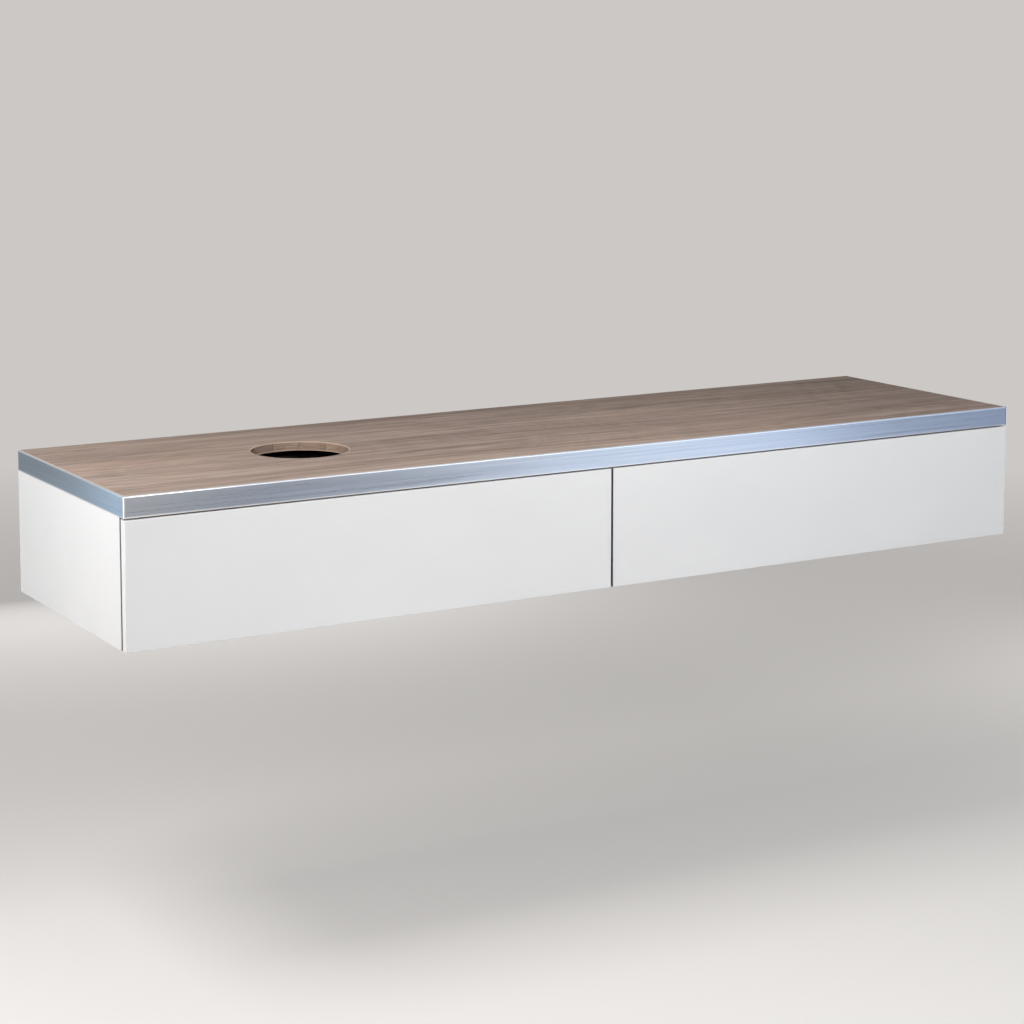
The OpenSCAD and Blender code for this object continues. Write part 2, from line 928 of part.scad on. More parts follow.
module right_drawer_front() drawer_front(RIGHT);
module right_drawer_inner_front() inner_front(RIGHT);
module right_drawer_left_side() drawer_side(RIGHT, LEFT);
module right_drawer_right_side() drawer_side(RIGHT, RIGHT);

module right_drawer_back() color(melamine)
    drawer_back(RIGHT);

module right_drawer_bottom() color(melamine)
    drawer_bottom(RIGHT);

module right_front_screws() front_screws(RIGHT);

module left_drawer_left_slide_base() slide_base(LEFT, LEFT);
module left_drawer_left_slide_middle() slide_middle(LEFT, LEFT);
module left_drawer_left_slide_runner() slide_runner(LEFT, LEFT);
module left_drawer_right_slide_base() slide_base(LEFT, RIGHT);
module left_drawer_right_slide_middle() slide_middle(LEFT, RIGHT);
module left_drawer_right_slide_runner() slide_runner(LEFT, RIGHT);
module right_drawer_left_slide_base() slide_base(RIGHT, LEFT);
module right_drawer_left_slide_middle() slide_middle(RIGHT, LEFT);
module right_drawer_left_slide_runner() slide_runner(RIGHT, LEFT);
module right_drawer_right_slide_base() slide_base(RIGHT, RIGHT);
module right_drawer_right_slide_middle() slide_middle(RIGHT, RIGHT);
module right_drawer_right_slide_runner() slide_runner(RIGHT, RIGHT);

module left_drawer_outer_ball_cages() outer_ball_cages(LEFT);
module left_drawer_inner_ball_cages() inner_ball_cages(LEFT);
module right_drawer_outer_ball_cages() outer_ball_cages(RIGHT);
module right_drawer_inner_ball_cages() inner_ball_cages(RIGHT);

module left_drawer_left_plunger() plunger(LEFT, LEFT);
module left_drawer_right_plunger() plunger(LEFT, RIGHT);
module right_drawer_left_plunger() plunger(RIGHT, LEFT);
module right_drawer_right_plunger() plunger(RIGHT, RIGHT);

top_board();
cutout_lining();
front_band();
left_band();
right_band();
front_strip();
left_strip();
right_strip();
rear_strip();
left_side_panel();
right_side_panel();
centre_partition();
bottom_panel();
back_panel();
front_rail();
rear_rail();
wall_rail();
hanger_housings();
hanger_hooks();
hanger_screws();
top_screws();
cam_fittings();
slide_screws();
latch_housings();
left_drawer_front();
left_drawer_inner_front();
left_drawer_left_side();
left_drawer_right_side();
left_drawer_back();
left_drawer_bottom();
trap_surround();
left_front_screws();
right_drawer_front();
right_drawer_inner_front();
right_drawer_left_side();
right_drawer_right_side();
right_drawer_back();
right_drawer_bottom();
right_front_screws();
left_drawer_left_slide_base();
left_drawer_left_slide_middle();
left_drawer_left_slide_runner();
left_drawer_right_slide_base();
left_drawer_right_slide_middle();
left_drawer_right_slide_runner();
right_drawer_left_slide_base();
right_drawer_left_slide_middle();
right_drawer_left_slide_runner();
right_drawer_right_slide_base();
right_drawer_right_slide_middle();
right_drawer_right_slide_runner();
left_drawer_outer_ball_cages();
left_drawer_inner_ball_cages();
right_drawer_outer_ball_cages();
right_drawer_inner_ball_cages();
left_drawer_left_plunger();
left_drawer_right_plunger();
right_drawer_left_plunger();
right_drawer_right_plunger();
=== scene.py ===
# Vanity console: the finish of every surface, the pieces whose edges and recesses are
# finer than the frame's own solids, and the stage, lamps and camera. X runs along the
# front, +Y points into the wall, +Z is up, and every length is in metres.
import json
import math

import bmesh
import bpy
from mathutils import Matrix, Vector

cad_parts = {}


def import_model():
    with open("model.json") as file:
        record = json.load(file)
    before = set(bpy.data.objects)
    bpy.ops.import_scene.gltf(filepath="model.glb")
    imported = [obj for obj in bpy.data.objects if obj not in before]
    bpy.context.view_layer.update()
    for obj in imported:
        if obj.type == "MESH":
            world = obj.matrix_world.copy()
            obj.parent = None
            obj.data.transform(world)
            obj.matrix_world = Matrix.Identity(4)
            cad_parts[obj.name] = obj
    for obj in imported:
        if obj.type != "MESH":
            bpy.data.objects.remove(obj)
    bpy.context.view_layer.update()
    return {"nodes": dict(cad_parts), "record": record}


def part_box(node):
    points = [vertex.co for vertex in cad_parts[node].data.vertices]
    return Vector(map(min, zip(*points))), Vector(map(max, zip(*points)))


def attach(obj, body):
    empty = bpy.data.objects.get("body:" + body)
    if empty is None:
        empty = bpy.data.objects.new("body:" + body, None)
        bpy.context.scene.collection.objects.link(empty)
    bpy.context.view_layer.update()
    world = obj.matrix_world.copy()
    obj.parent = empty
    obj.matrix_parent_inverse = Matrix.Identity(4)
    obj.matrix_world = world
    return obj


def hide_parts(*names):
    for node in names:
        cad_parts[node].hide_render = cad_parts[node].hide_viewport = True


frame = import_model()
nodes = frame["nodes"]
record = frame["record"]
slot_of = {part["node"]: part["material_slot"] for part in record["subparts"]}
body_of = {
    node: body for body, members in record["behaviour"]["bodies"].items() for node in members
}
cutout = next(mount for mount in record["mounts"] if mount["name"] == "basin_cutout")
cutout_x, cutout_y, cutout_z = cutout["pos_m"]
cutout_radius = cutout["dims"]["r_mm"] / 1000
cutout_height = cutout["dims"]["length_mm"] / 1000

# Camera, as the photograph was taken
IMAGE_WIDTH = 1024
SENSOR_WIDTH = 36
FOCAL_PIXELS = 2428.6
PRINCIPAL_ROW = 300
CAMERA_PLACE = (-2.2550, -3.9847, 0.8239)
CAMERA_YAW = math.radians(30.428)
CAMERA_PITCH = math.radians(6.286)

# Stage
FLOOR_Z = -0.72
FLOOR_SIZE = 60
FLOOR_ALBEDO = 0.72
FLOOR_LIFT = 0.27
FLOOR_FADE = (1.4, 4.4)
BACKGROUND = (0.600, 0.578, 0.560)
DOME_COLOR = (1.0, 0.995, 0.99)
DOME_STRENGTH = 0.12

# Lamps: name, place, aim, size, power in watts and colour
WHITE = (1.0, 1.0, 1.0)
WARM_WHITE = (1.0, 0.995, 0.985)
LAMPS = (
    ("key", (-1.60, -0.50, 0.35), (-0.9, -0.42, 0.0), (0.4, 1.0), 4.8, WARM_WHITE),
    ("top", (-2.00, -0.40, 2.20), (-0.7, -0.3, 0.0), (1.2, 1.2), 38, WARM_WHITE),
    ("low_left", (-1.80, -2.30, 0.50), (-0.8, -0.49, 0.0), (0.6, 1.2), 4.4, WHITE),
    ("fill", (-0.35, -2.00, 1.00), (-0.15, -0.45, 0.0), (0.7, 0.9), 14.5, WHITE),
    ("fill_right", (0.60, -2.10, 1.20), (0.1, -0.4, 0.0), (0.8, 1.0), 6.8, (0.99, 1.0, 1.0)),
    ("side_fill", (2.00, -2.60, 1.20), (-0.1, -0.4, 0.0), (1.4, 1.0), 9.5, (0.84, 0.92, 1.0)),
    ("strip", (1.51, -2.58, 0.30), (0.1, -0.49, 0.09), (0.9, 1.2), 5.0, (0.85, 0.93, 1.0)),
    ("right", (2.60, -0.15, -0.22), (0.9, -0.25, -0.02), (1.0, 0.6), 9, WHITE),
    ("back", (0.30, 2.30, -0.22), (0.0, 0.0, -0.03), (2.2, 0.6), 12, WHITE),
    ("rim", (-1.64, 0.95, 0.30), (-0.9, -0.45, 0.09), (0.16, 0.8), 1.15, (0.70, 0.86, 1.0)),
)

# Meshes, with angles in degrees. Points are joined within WELD, a pin's tip is found within
# SAME_HEIGHT, and solids are put in order by MIDDLE_DIGITS decimals of their middles. Faces
# that turn by less than FLAT become one, and edges that are longer than SHORTEST_EASED and
# turn by more than EASED_FROM are rounded.
WELD = 1e-6
SAME_HEIGHT = 1e-5
MIDDLE_DIGITS = 5
FLAT = 0.5
EASED_FROM = 40
SHORTEST_EASED = 0.012
SMOOTH = 40
SMOOTH_SMALL = 30
ROUND_STEPS = 32
LINING_STEPS = 160
SURROUND_STEPS = 8

# Radii of the eased edges
LACQUER_EDGE = 0.0014
MELAMINE_EDGE = 0.0006
PLASTIC_EDGE = 0.0009
STEEL_EDGE = 0.0003
LINING_EDGE = 0.0005

# Screws and cams. The recess's reach and arm are shares of the head's radius, its depth and
# the crown are shares of the head's height, its taper is the foot as a share of the mouth, and
# the point is a share of the shank's radius. The crown has a ring at each of CROWN_STEPS of a
# quarter turn. Points further out than HEAD_FROM times the radius are the head's. A fitting
# more than BOLT_SLENDER times as long as thick is a bolt, with a chamfer of BOLT_EDGE radii
# and a bore too fine to see.
SCREWS = ("top_screws", "slide_screws", "left_front_screws", "right_front_screws", "hanger_screws")
RECESS_REACH = 0.56
RECESS_ARM = 0.17
RECESS_DEPTH = 0.55
RECESS_TAPER = 0.62
HEAD_CROWN = 0.6
CROWN_STEPS = (0.4, 0.75, 1.0)
HEAD_FROM = 0.97
POINT_SHARE = 0.35
BOLT_SLENDER = 2
BOLT_EDGE = 0.2
BOLT_BORE = 0.0001
CAM_LIP = 0.0006

# Surround of the trap's recess. Its flange ends SURROUND_BACK_BOARD before its wall.
SURROUND_CORNER = 0.012
SURROUND_WALL = 0.003
SURROUND_FLANGE = 0.010
SURROUND_BACK_BOARD = 0.0152


# Node helpers


def node(tree, kind, inputs=None, **settings):
    """Adds a shader node. A socket among the inputs is linked, anything else is its value."""
    made = tree.nodes.new("ShaderNode" + kind)
    for name, value in settings.items():
        setattr(made, name, value)
    for name, value in (inputs or {}).items():
        if isinstance(value, bpy.types.NodeSocket):
            tree.links.new(value, made.inputs[name])
        else:
            made.inputs[name].default_value = value
    return made


def own_place(tree):
    """A point of the part in the part's own coordinates."""
    return node(tree, "TexCoord").outputs["Object"]


def axes(tree, vector):
    """The outputs X, Y and Z of a vector."""
    return node(tree, "SeparateXYZ", {"Vector": vector}).outputs


def joined(tree, **values):
    """A vector of X, Y and Z, where an axis that isn't given is 0."""
    return node(tree, "CombineXYZ", values).outputs[0]


def stretched(tree, scale=(1, 1, 1), source=None):
    """The part's own coordinates or another vector, stretched by a scale."""
    return node(tree, "Mapping", {
        "Vector": source or own_place(tree),
        "Scale": scale,
    }).outputs["Vector"]


def noise(tree, vector, scale=1.0, detail=3.0, roughness=0.5, distortion=0.0):
    return node(tree, "TexNoise", {
        "Vector": vector,
        "Scale": scale,
        "Detail": detail,
        "Roughness": roughness,
        "Distortion": distortion,
    }).outputs["Fac"]


def calc(tree, operation, a, b=0.0):
    made = node(tree, "Math", operation=operation)
    for index, value in enumerate((a, b)):
        if isinstance(value, bpy.types.NodeSocket):
            tree.links.new(value, made.inputs[index])
        else:
            made.inputs[index].default_value = value
    return made.outputs[0]


def times(tree, a, b):
    return calc(tree, "MULTIPLY", a, b)


def added(tree, *parts):
    """The sum of several values, each times its share."""
    total = None
    for value, share in parts:
        part = times(tree, value, share)
        total = part if total is None else calc(tree, "ADD", total, part)
    return total


def level(tree, value, start, end, low=0.0, high=1.0):
    """Spreads a value from start..end to low..high, and holds it there outside."""
    return node(tree, "MapRange", {
        "Value": value,
        "From Min": start,
        "From Max": end,
        "To Min": low,
        "To Max": high,
    }).outputs["Result"]


def ramp(tree, factor, stops):
    made = node(tree, "ValToRGB", {"Fac": factor})
    elements = made.color_ramp.elements
    while len(elements) < len(stops):
        elements.new(0.5)
    for element, (at, color) in zip(elements, stops):
        element.position = at
        element.color = (*color, 1)
    return made.outputs["Color"]


def mix(tree, factor, a, b, blend="MIX"):
    """Mixes two colours."""
    made = node(tree, "Mix", data_type="RGBA", blend_type=blend)
    for index, value in ((0, factor), (6, a), (7, b)):
        if isinstance(value, bpy.types.NodeSocket):
            tree.links.new(value, made.inputs[index])
        elif index == 0:
            made.inputs[index].default_value = value
        else:
            made.inputs[index].default_value = (*value, 1)
    return made.outputs[2]


def shaded(tree, color, grey):
    """A colour times a grey value."""
    channels = {"Red": grey, "Green": grey, "Blue": grey}
    return mix(tree, 1.0, color, node(tree, "CombineColor", channels).outputs["Color"], "MULTIPLY")


def bump(tree, height, distance, below=None):
    inputs = {"Height": height, "Distance": distance}
    if below:
        inputs["Normal"] = below
    return node(tree, "Bump", inputs).outputs["Normal"]


def material(name, **plain):
    """A new material, and its tree and shader, with plain values on the shader's sockets."""
    made = bpy.data.materials.new(name)
    made.use_nodes = True
    shader = made.node_tree.nodes["Principled BSDF"]
    for socket, value in plain.items():
        shader.inputs[socket.replace("_", " ")].default_value = value
    return made, made.node_tree, shader


def drive(tree, shader, color, roughness, normal):
    for socket, source in (("Base Color", color), ("Roughness", roughness), ("Normal", normal)):
        tree.links.new(source, shader.inputs[socket])


# Materials. Spreads, fades and shades are what level() takes: start, end, and at times low
# and high. A roughness is the same, or low and high alone. Tones and tints are colours, at
# times with their places on a ramp. A stretch is a texture's scale along X, Y and Z.

NOISE_SPREAD = (0.30, 0.70)

# Wood decor. A layer of the figure has its stretch, detail, roughness, distortion and share.
WOOD_LAYERS = (
    ((0.9, 15, 15), 3, 0.55, 0.3, 0.18),
    ((2.2, 56, 56), 4, 0.62, 0.3, 0.26),
    ((4.6, 140, 140), 4, 0.64, 0.2, 0.28),
    ((13, 620, 620), 3, 0.58, 0.1, 0.22),
)
WOOD_SWAY_STRETCH = (0.9, 2.2, 2.2)
WOOD_SWAY_REACH = 0.10
WOOD_WOBBLE_STRETCH = (5.0, 9.0, 9.0)
WOOD_WOBBLE_REACH = 0.006
WOOD_HEART_Y = -0.20
WOOD_ARCH_SLOPE = 0.42
WOOD_ARCH_SWAY = 0.5
WOOD_RINGS_PER_METRE = 46.0
WOOD_RING_SHARE = 0.10
WOOD_TONES = (
    (0.27, (0.165, 0.122, 0.102)),
    (0.44, (0.310, 0.233, 0.195)),
    (0.57, (0.397, 0.301, 0.252)),
    (0.76, (0.510, 0.392, 0.328)),
)
WOOD_WARM_STRETCH = (1.6, 9, 9)
WOOD_WARM_SPREAD = (0.48, 0.66, 0.0, 0.36)
WOOD_WARM_TONE = (0.520, 0.362, 0.288)
WOOD_SMUDGE_STRETCH = (5.2, 34, 34)
WOOD_SMUDGE_SPREAD = (0.54, 0.72, 0.0, 0.5)
WOOD_SMUDGE_TONE = (0.215, 0.172, 0.150)
WOOD_DRIFT_STRETCH = (0.35, 0.8, 0.8)
WOOD_DRIFT_SPREAD = (0.3, 0.6, 1.03, 0.97)
# Painted shade: the top gets darker towards its right end and towards the wall.
WOOD_PAINTED_SHADE_ALONG_X = (0.1, 1.0, 1.0, 0.78)
WOOD_PAINTED_SHADE_ALONG_Y = (-0.46, -0.04, 1.12, 0.91)
WOOD_PORE_STRETCH = (95, 2300, 2300)
WOOD_PORE_SPREAD = (0.63, 0.72)
WOOD_PORE_SHARE = 0.5
WOOD_PORE_TONE = (0.150, 0.105, 0.080)
WOOD_ROUGHNESS = (0.2, 0.8, 0.68, 0.56)
WOOD_GRAIN_DEPTH = 0.00010
WOOD_PORE_DEPTH = 0.00012


def wood_decor():
    """Brown-grey oak decor: cathedral figure, long soft streaks, fibres and pores along X, under
    painted shade.
    """
    made, tree, shader = material("wood_decor", Specular_IOR_Level=0.15)
    raw = own_place(tree)
    at = axes(tree, raw)
    sway = noise(tree, stretched(tree, WOOD_SWAY_STRETCH, raw), detail=3, roughness=0.45)
    wobble = noise(tree, stretched(tree, WOOD_WOBBLE_STRETCH, raw), detail=2)
    bent_y = added(tree, (at["Y"], 1.0), (sway, WOOD_SWAY_REACH), (wobble, WOOD_WOBBLE_REACH))
    bent = joined(tree, X=at["X"], Y=bent_y, Z=at["Z"])

    parts = []
    for stretch, detail, rough, distortion, share in WOOD_LAYERS:
        layer = noise(tree, stretched(tree, stretch, bent),
                      detail=detail, roughness=rough, distortion=distortion)
        parts.append((level(tree, layer, *NOISE_SPREAD), share))
    heart = calc(tree, "SUBTRACT", bent_y, WOOD_HEART_Y)
    arch = added(tree, (at["X"], WOOD_ARCH_SLOPE), (sway, WOOD_ARCH_SWAY))
    squares = [calc(tree, "POWER", side, 2.0) for side in (heart, arch)]
    ring = calc(tree, "SQRT", calc(tree, "ADD", *squares))
    rings = joined(tree, X=times(tree, ring, WOOD_RINGS_PER_METRE))
    growth = noise(tree, rings, detail=2, roughness=0.6)
    parts.append((level(tree, growth, *NOISE_SPREAD), WOOD_RING_SHARE))
    figure = added(tree, *parts)

    color = ramp(tree, figure, WOOD_TONES)
    warm = noise(tree, stretched(tree, WOOD_WARM_STRETCH, bent), detail=3, roughness=0.6)
    color = mix(tree, level(tree, warm, *WOOD_WARM_SPREAD), color, WOOD_WARM_TONE)
    smudges = noise(tree, stretched(tree, WOOD_SMUDGE_STRETCH, bent),
                    detail=4, roughness=0.7, distortion=0.5)
    color = mix(tree, level(tree, smudges, *WOOD_SMUDGE_SPREAD), color, WOOD_SMUDGE_TONE)
    # A random drift in tone, times painted shade that darkens the top towards the right end and the
    # wall.
    drift = noise(tree, stretched(tree, WOOD_DRIFT_STRETCH, raw), detail=1)
    drift_and_painted_shade = times(tree, level(tree, drift, *WOOD_DRIFT_SPREAD),
                  level(tree, at["X"], *WOOD_PAINTED_SHADE_ALONG_X))
    color = shaded(tree, color, times(tree, drift_and_painted_shade, level(tree, at["Y"], *WOOD_PAINTED_SHADE_ALONG_Y)))
    pores = noise(tree, stretched(tree, WOOD_PORE_STRETCH, bent), detail=1)
    pores = level(tree, pores, *WOOD_PORE_SPREAD)
    color = mix(tree, times(tree, pores, WOOD_PORE_SHARE), color, WOOD_PORE_TONE)

    grain = bump(tree, figure, WOOD_GRAIN_DEPTH)
    normal = bump(tree, calc(tree, "SUBTRACT", 1.0, pores), WOOD_PORE_DEPTH, below=grain)
    drive(tree, shader, color, level(tree, figure, *WOOD_ROUGHNESS), normal)
    return made


# Wood edging round the cut-out. Its stretches run round the cut-out, across the strips and along Z.
EDGING_STRIPS = 11
# A sine over the strips is painted shade: darker strips on the cut-out's left, lighter ones on its
# right.
EDGING_PAINTED_SHADE_WAVE = 0.785
EDGING_PAINTED_SHADE_PHASE = 1.96
EDGING_RANDOM_SHARE = 0.4
EDGING_PAINTED_SHADE_SPREAD = (-1, 1, 0.0, 0.6)
EDGING_GRAIN_STRETCH = (1.6, 7, 420)
EDGING_GRAIN_SHARE = 0.7
EDGING_FIBRE_STRETCH = (14, 7, 1500)
EDGING_FIBRE_SHARE = 0.3
EDGING_TONES = (
    (0.36, (0.215, 0.142, 0.104)),
    (0.50, (0.345, 0.240, 0.180)),
    (0.64, (0.470, 0.345, 0.268)),
)
EDGING_STRIP_TONE_AND_SHADE = (0, 1, 0.58, 1.42)
EDGING_SEAM_SPREAD = (0.006, 0.018, 0.75, 0.0)
EDGING_SEAM_TONE = (0.130, 0.084, 0.060)
EDGING_MOTTLE_STRETCH = (30, 7, 260)
EDGING_MOTTLE_SPREAD = (0.54, 0.66, 0.0, 0.45)
EDGING_MOTTLE_TONE = (0.190, 0.125, 0.092)
# A painted highlight: a pale line along the top and the bottom rim of the edging.
EDGING_RIM_INNER = 0.0021
EDGING_RIM_OUTER = 0.0012
EDGING_RIM_HIGHLIGHT_SHARE = 0.85
EDGING_RIM_HIGHLIGHT_TONE = (0.70, 0.515, 0.400)
EDGING_ROUGHNESS = (0.3, 0.7, 0.58, 0.46)
EDGING_GRAIN_DEPTH = 0.00008


def wood_edging():
    """Pale wood edging bent round the cut-out: strips side by side, grain running round, with painted
    shade and a painted highlight.
    """
    made, tree, shader = material("wood_edging", Specular_IOR_Level=0.4)
    at = axes(tree, own_place(tree))
    x = calc(tree, "SUBTRACT", at["X"], cutout_x)
    y = calc(tree, "SUBTRACT", at["Y"], cutout_y)
    turn = times(tree, calc(tree, "ARCTAN2", y, x), EDGING_STRIPS / (2 * math.pi))
    strip = calc(tree, "FLOOR", turn)
    within = calc(tree, "FRACT", turn)
    chance = node(tree, "TexWhiteNoise", {"W": strip}, noise_dimensions="1D").outputs["Value"]
    # Painted shade: a sine over the strips darkens the cut-out's left and lightens its right, and a
    # random tone per strip is added to it.
    painted_shade_wave = calc(tree, "ADD", times(tree, strip, EDGING_PAINTED_SHADE_WAVE), EDGING_PAINTED_SHADE_PHASE)
    painted_shade_wave = level(tree, calc(tree, "SINE", painted_shade_wave), *EDGING_PAINTED_SHADE_SPREAD)
    tone = calc(tree, "ADD", times(tree, chance, EDGING_RANDOM_SHARE), painted_shade_wave)

    along = joined(tree, X=turn, Y=strip, Z=at["Z"])
    grain = noise(tree, stretched(tree, EDGING_GRAIN_STRETCH, along), detail=4, roughness=0.65)
    fibres = noise(tree, stretched(tree, EDGING_FIBRE_STRETCH, along), detail=2)
    figure = added(tree, (grain, EDGING_GRAIN_SHARE), (fibres, EDGING_FIBRE_SHARE))
    color = ramp(tree, figure, EDGING_TONES)
    color = shaded(tree, color, level(tree, tone, *EDGING_STRIP_TONE_AND_SHADE))
    seam = calc(tree, "MINIMUM", within, calc(tree, "SUBTRACT", 1.0, within))
    color = mix(tree, level(tree, seam, *EDGING_SEAM_SPREAD), color, EDGING_SEAM_TONE)
    mottle = noise(tree, stretched(tree, EDGING_MOTTLE_STRETCH, along), detail=3, roughness=0.7)
    color = mix(tree, level(tree, mottle, *EDGING_MOTTLE_SPREAD), color, EDGING_MOTTLE_TONE)
    # Painted highlight: a pale line at the top and the bottom rim.
    from_middle = calc(tree, "ABSOLUTE", calc(tree, "SUBTRACT", at["Z"], cutout_z))
    half = cutout_height / 2
    rim = level(tree, from_middle, half - EDGING_RIM_INNER, half - EDGING_RIM_OUTER)
    color = mix(tree, times(tree, rim, EDGING_RIM_HIGHLIGHT_SHARE), color, EDGING_RIM_HIGHLIGHT_TONE)
    drive(tree, shader, color, level(tree, figure, *EDGING_ROUGHNESS),
          bump(tree, figure, EDGING_GRAIN_DEPTH))
    return made


# Brushed aluminium. A layer has its stretch along the brush lines, its stretch across
# them, and its texture. The blue of the tones is a painted reflection of sky. The band's
# colours change along its length as painted reflections of a room, and a fade is given in
# metres from the band's end.
BRUSHED_LAYERS = (
    (6, 640, {"detail": 2, "roughness": 0.6}),
    (2.2, 230, {"detail": 3, "roughness": 0.65}),
    (1.1, 26, {"detail": 3, "roughness": 0.55, "distortion": 0.5}),
)
BRUSHED_LINE_SHARE = 0.35
BRUSHED_BAND_SHARE = 0.65
# The blue of these tones is a painted reflection of sky.
BRUSHED_TONES = (
    (0.30, (0.385, 0.445, 0.550)),
    (0.50, (0.465, 0.530, 0.645)),
    (0.70, (0.555, 0.620, 0.730)),
)
BRUSHED_CLOUD_SPREAD = (0.40, 0.64, 0.0, 0.45)
BRUSHED_CLOUD_TONE = (0.50, 0.53, 0.58)
# The end bands are the same aluminium, made lighter by this factor: painted light.
BRUSHED_END_PAINTED_LIGHT = 1.2
BRUSHED_DEPTH = 0.000012
BRUSHED_ROUGHNESS = (0.3, 0.7, 0.26, 0.36)
# Painted reflections on the front band: grey over its left part and blue towards its right end.
GREY_REFLECTION_FADE = (0.20, 0.62, 0.9, 0.0)
GREY_REFLECTION_BAND_SPREAD = (0.3, 0.6, 0.8, 1.0)
GREY_REFLECTION_TONE = (0.304, 0.320, 0.345)
GREY_REFLECTION_BLUER_FADE = (0.05, 0.25)
GREY_REFLECTION_BLUER_TONE = (0.285, 0.324, 0.402)
BLUE_REFLECTION_FADE = (0.75, 0.05, 0.0, 0.9)
BLUE_REFLECTION_CLOUD_SPREAD = (0.3, 0.6, 0.75, 1.0)
BLUE_REFLECTION_TONE = (0.340, 0.450, 0.670)
# Painted shade on the last few millimetres of the front band's right end.
END_SHADE_FADE = (0.0040, 0.0015)
END_SHADE_TONE = (0.120, 0.165, 0.260)
# Painted reflection on the end bands: lighter and bluer at the front, darker towards the wall.
WALLWARD_PAINTED_REFLECTION = (
    (0.05, (0.79, 0.93, 1.00)),
    (0.42, (0.56, 0.64, 0.68)),
    (0.80, (0.41, 0.485, 0.515)),
)
# A painted highlight: a pale line along the bands' long edges, weaker towards the front band's right
# end.
EDGE_HIGHLIGHT_REACH = 0.0030
EDGE_HIGHLIGHT_SHARE = 0.9
EDGE_HIGHLIGHT_SHARE_ALONG_X = (-0.5, 0.2, EDGE_HIGHLIGHT_SHARE, 0.5)
EDGE_HIGHLIGHT_TONE = (0.92, 0.93, 0.94)


def highlit_edges(tree, at, low, high, across):
    """Where the painted highlight goes: 1 on the long edges of a box across the two given axes,
    falling to 0 over its reach.
    """
    edges = []
    for axis in across:
        index = "XYZ".index(axis)
        from_middle = calc(tree, "SUBTRACT", at[axis], (low[index] + high[index]) / 2)
        from_middle = calc(tree, "ABSOLUTE", from_middle)
        depth = calc(tree, "SUBTRACT", (high[index] - low[index]) / 2, from_middle)
        edges.append(level(tree, depth, 0.0, EDGE_HIGHLIGHT_REACH, 1.0, 0.0))
    return calc(tree, "MAXIMUM", *edges)


def brushed_aluminium(name, along_x, box, tone=1.0):
    """Satin aluminium, brushed along X or Y, so that highlights spread across the brush lines."""
    made, tree, shader = material(name, Metallic=1.0, Anisotropic=0.8, Anisotropic_Rotation=0.25)
    low, high = box
    at = axes(tree, own_place(tree))
    layers = []
    for along, across, texture in BRUSHED_LAYERS:
        stretch = (along, across, across) if along_x else (across, along, across)
        layers.append(noise(tree, stretched(tree, stretch), **texture))
    lines, bands, cloud = layers
    figure = added(tree, (lines, BRUSHED_LINE_SHARE), (bands, BRUSHED_BAND_SHARE))
    tones = [(stop, [channel * tone for channel in color]) for stop, color in BRUSHED_TONES]
    color = ramp(tree, figure, tones)
    cloud_tone = [channel * tone for channel in BRUSHED_CLOUD_TONE]
    color = mix(tree, level(tree, cloud, *BRUSHED_CLOUD_SPREAD), color, cloud_tone)
    # Painted reflections: grey over the left part, greyest right at the end, and blue towards the
    # right end.
    if along_x:
        from_left = calc(tree, "SUBTRACT", at["X"], low.x)
        from_right = calc(tree, "SUBTRACT", high.x, at["X"])
        painted_grey_reflection = times(tree, level(tree, from_left, *GREY_REFLECTION_FADE),
                     level(tree, bands, *GREY_REFLECTION_BAND_SPREAD))
        painted_grey_reflection_tone = mix(tree, level(tree, from_left, *GREY_REFLECTION_BLUER_FADE), GREY_REFLECTION_TONE, GREY_REFLECTION_BLUER_TONE)
        color = mix(tree, painted_grey_reflection, color, painted_grey_reflection_tone)
        painted_blue_reflection = times(tree, level(tree, from_right, *BLUE_REFLECTION_FADE),
                     level(tree, cloud, *BLUE_REFLECTION_CLOUD_SPREAD))
        color = mix(tree, painted_blue_reflection, color, BLUE_REFLECTION_TONE)
        # Painted shade: the last few millimetres of the right end are darkened.
        painted_end_shade = level(tree, from_right, *END_SHADE_FADE)
        color = mix(tree, painted_end_shade, color, END_SHADE_TONE)
        edge_highlight_share = times(tree, level(tree, at["X"], *EDGE_HIGHLIGHT_SHARE_ALONG_X),
                           calc(tree, "SUBTRACT", 1.0, painted_end_shade))
    else:
        # Painted reflection: the end band is lighter and bluer at its front and darker towards the
        # wall.
        wallward = level(tree, at["Y"], low.y, high.y)
        color = mix(tree, 1.0, color, ramp(tree, wallward, WALLWARD_PAINTED_REFLECTION), "MULTIPLY")
        edge_highlight_share = EDGE_HIGHLIGHT_SHARE
    # Painted highlight: a pale line along the long edges.
    painted_edge_highlight = highlit_edges(tree, at, low, high, "XZ" if along_x else "YZ")
    color = mix(tree, times(tree, painted_edge_highlight, edge_highlight_share), color, EDGE_HIGHLIGHT_TONE)
    tangent = joined(tree, X=float(along_x), Y=float(not along_x))
    tree.links.new(tangent, shader.inputs["Tangent"])
    drive(tree, shader, color, level(tree, bands, *BRUSHED_ROUGHNESS),
          bump(tree, figure, BRUSHED_DEPTH))
    return made


LACQUER_TONES = (
    (0.34, (0.840, 0.840, 0.847)),
    (0.52, (0.864, 0.864, 0.869)),
    (0.68, (0.881, 0.879, 0.882)),
)
LACQUER_CLOUD_STRETCH = (1.6, 3.2, 3.2)
LACQUER_WIPED_STRETCH = (4, 18, 30)
LACQUER_ROUGHNESS = (0.35, 0.70, 0.36, 0.46)
LACQUER_SPRAY_SCALE = 620
LACQUER_SPRAY_DEPTH = 0.000018
LACQUER_WAVE_SCALE = 46
LACQUER_WAVE_DEPTH = 0.00005
LACQUER_SPECK_SCALE = 1500
LACQUER_SPECK_SPREAD = (0.30, 0.36, 0.985, 1.0)
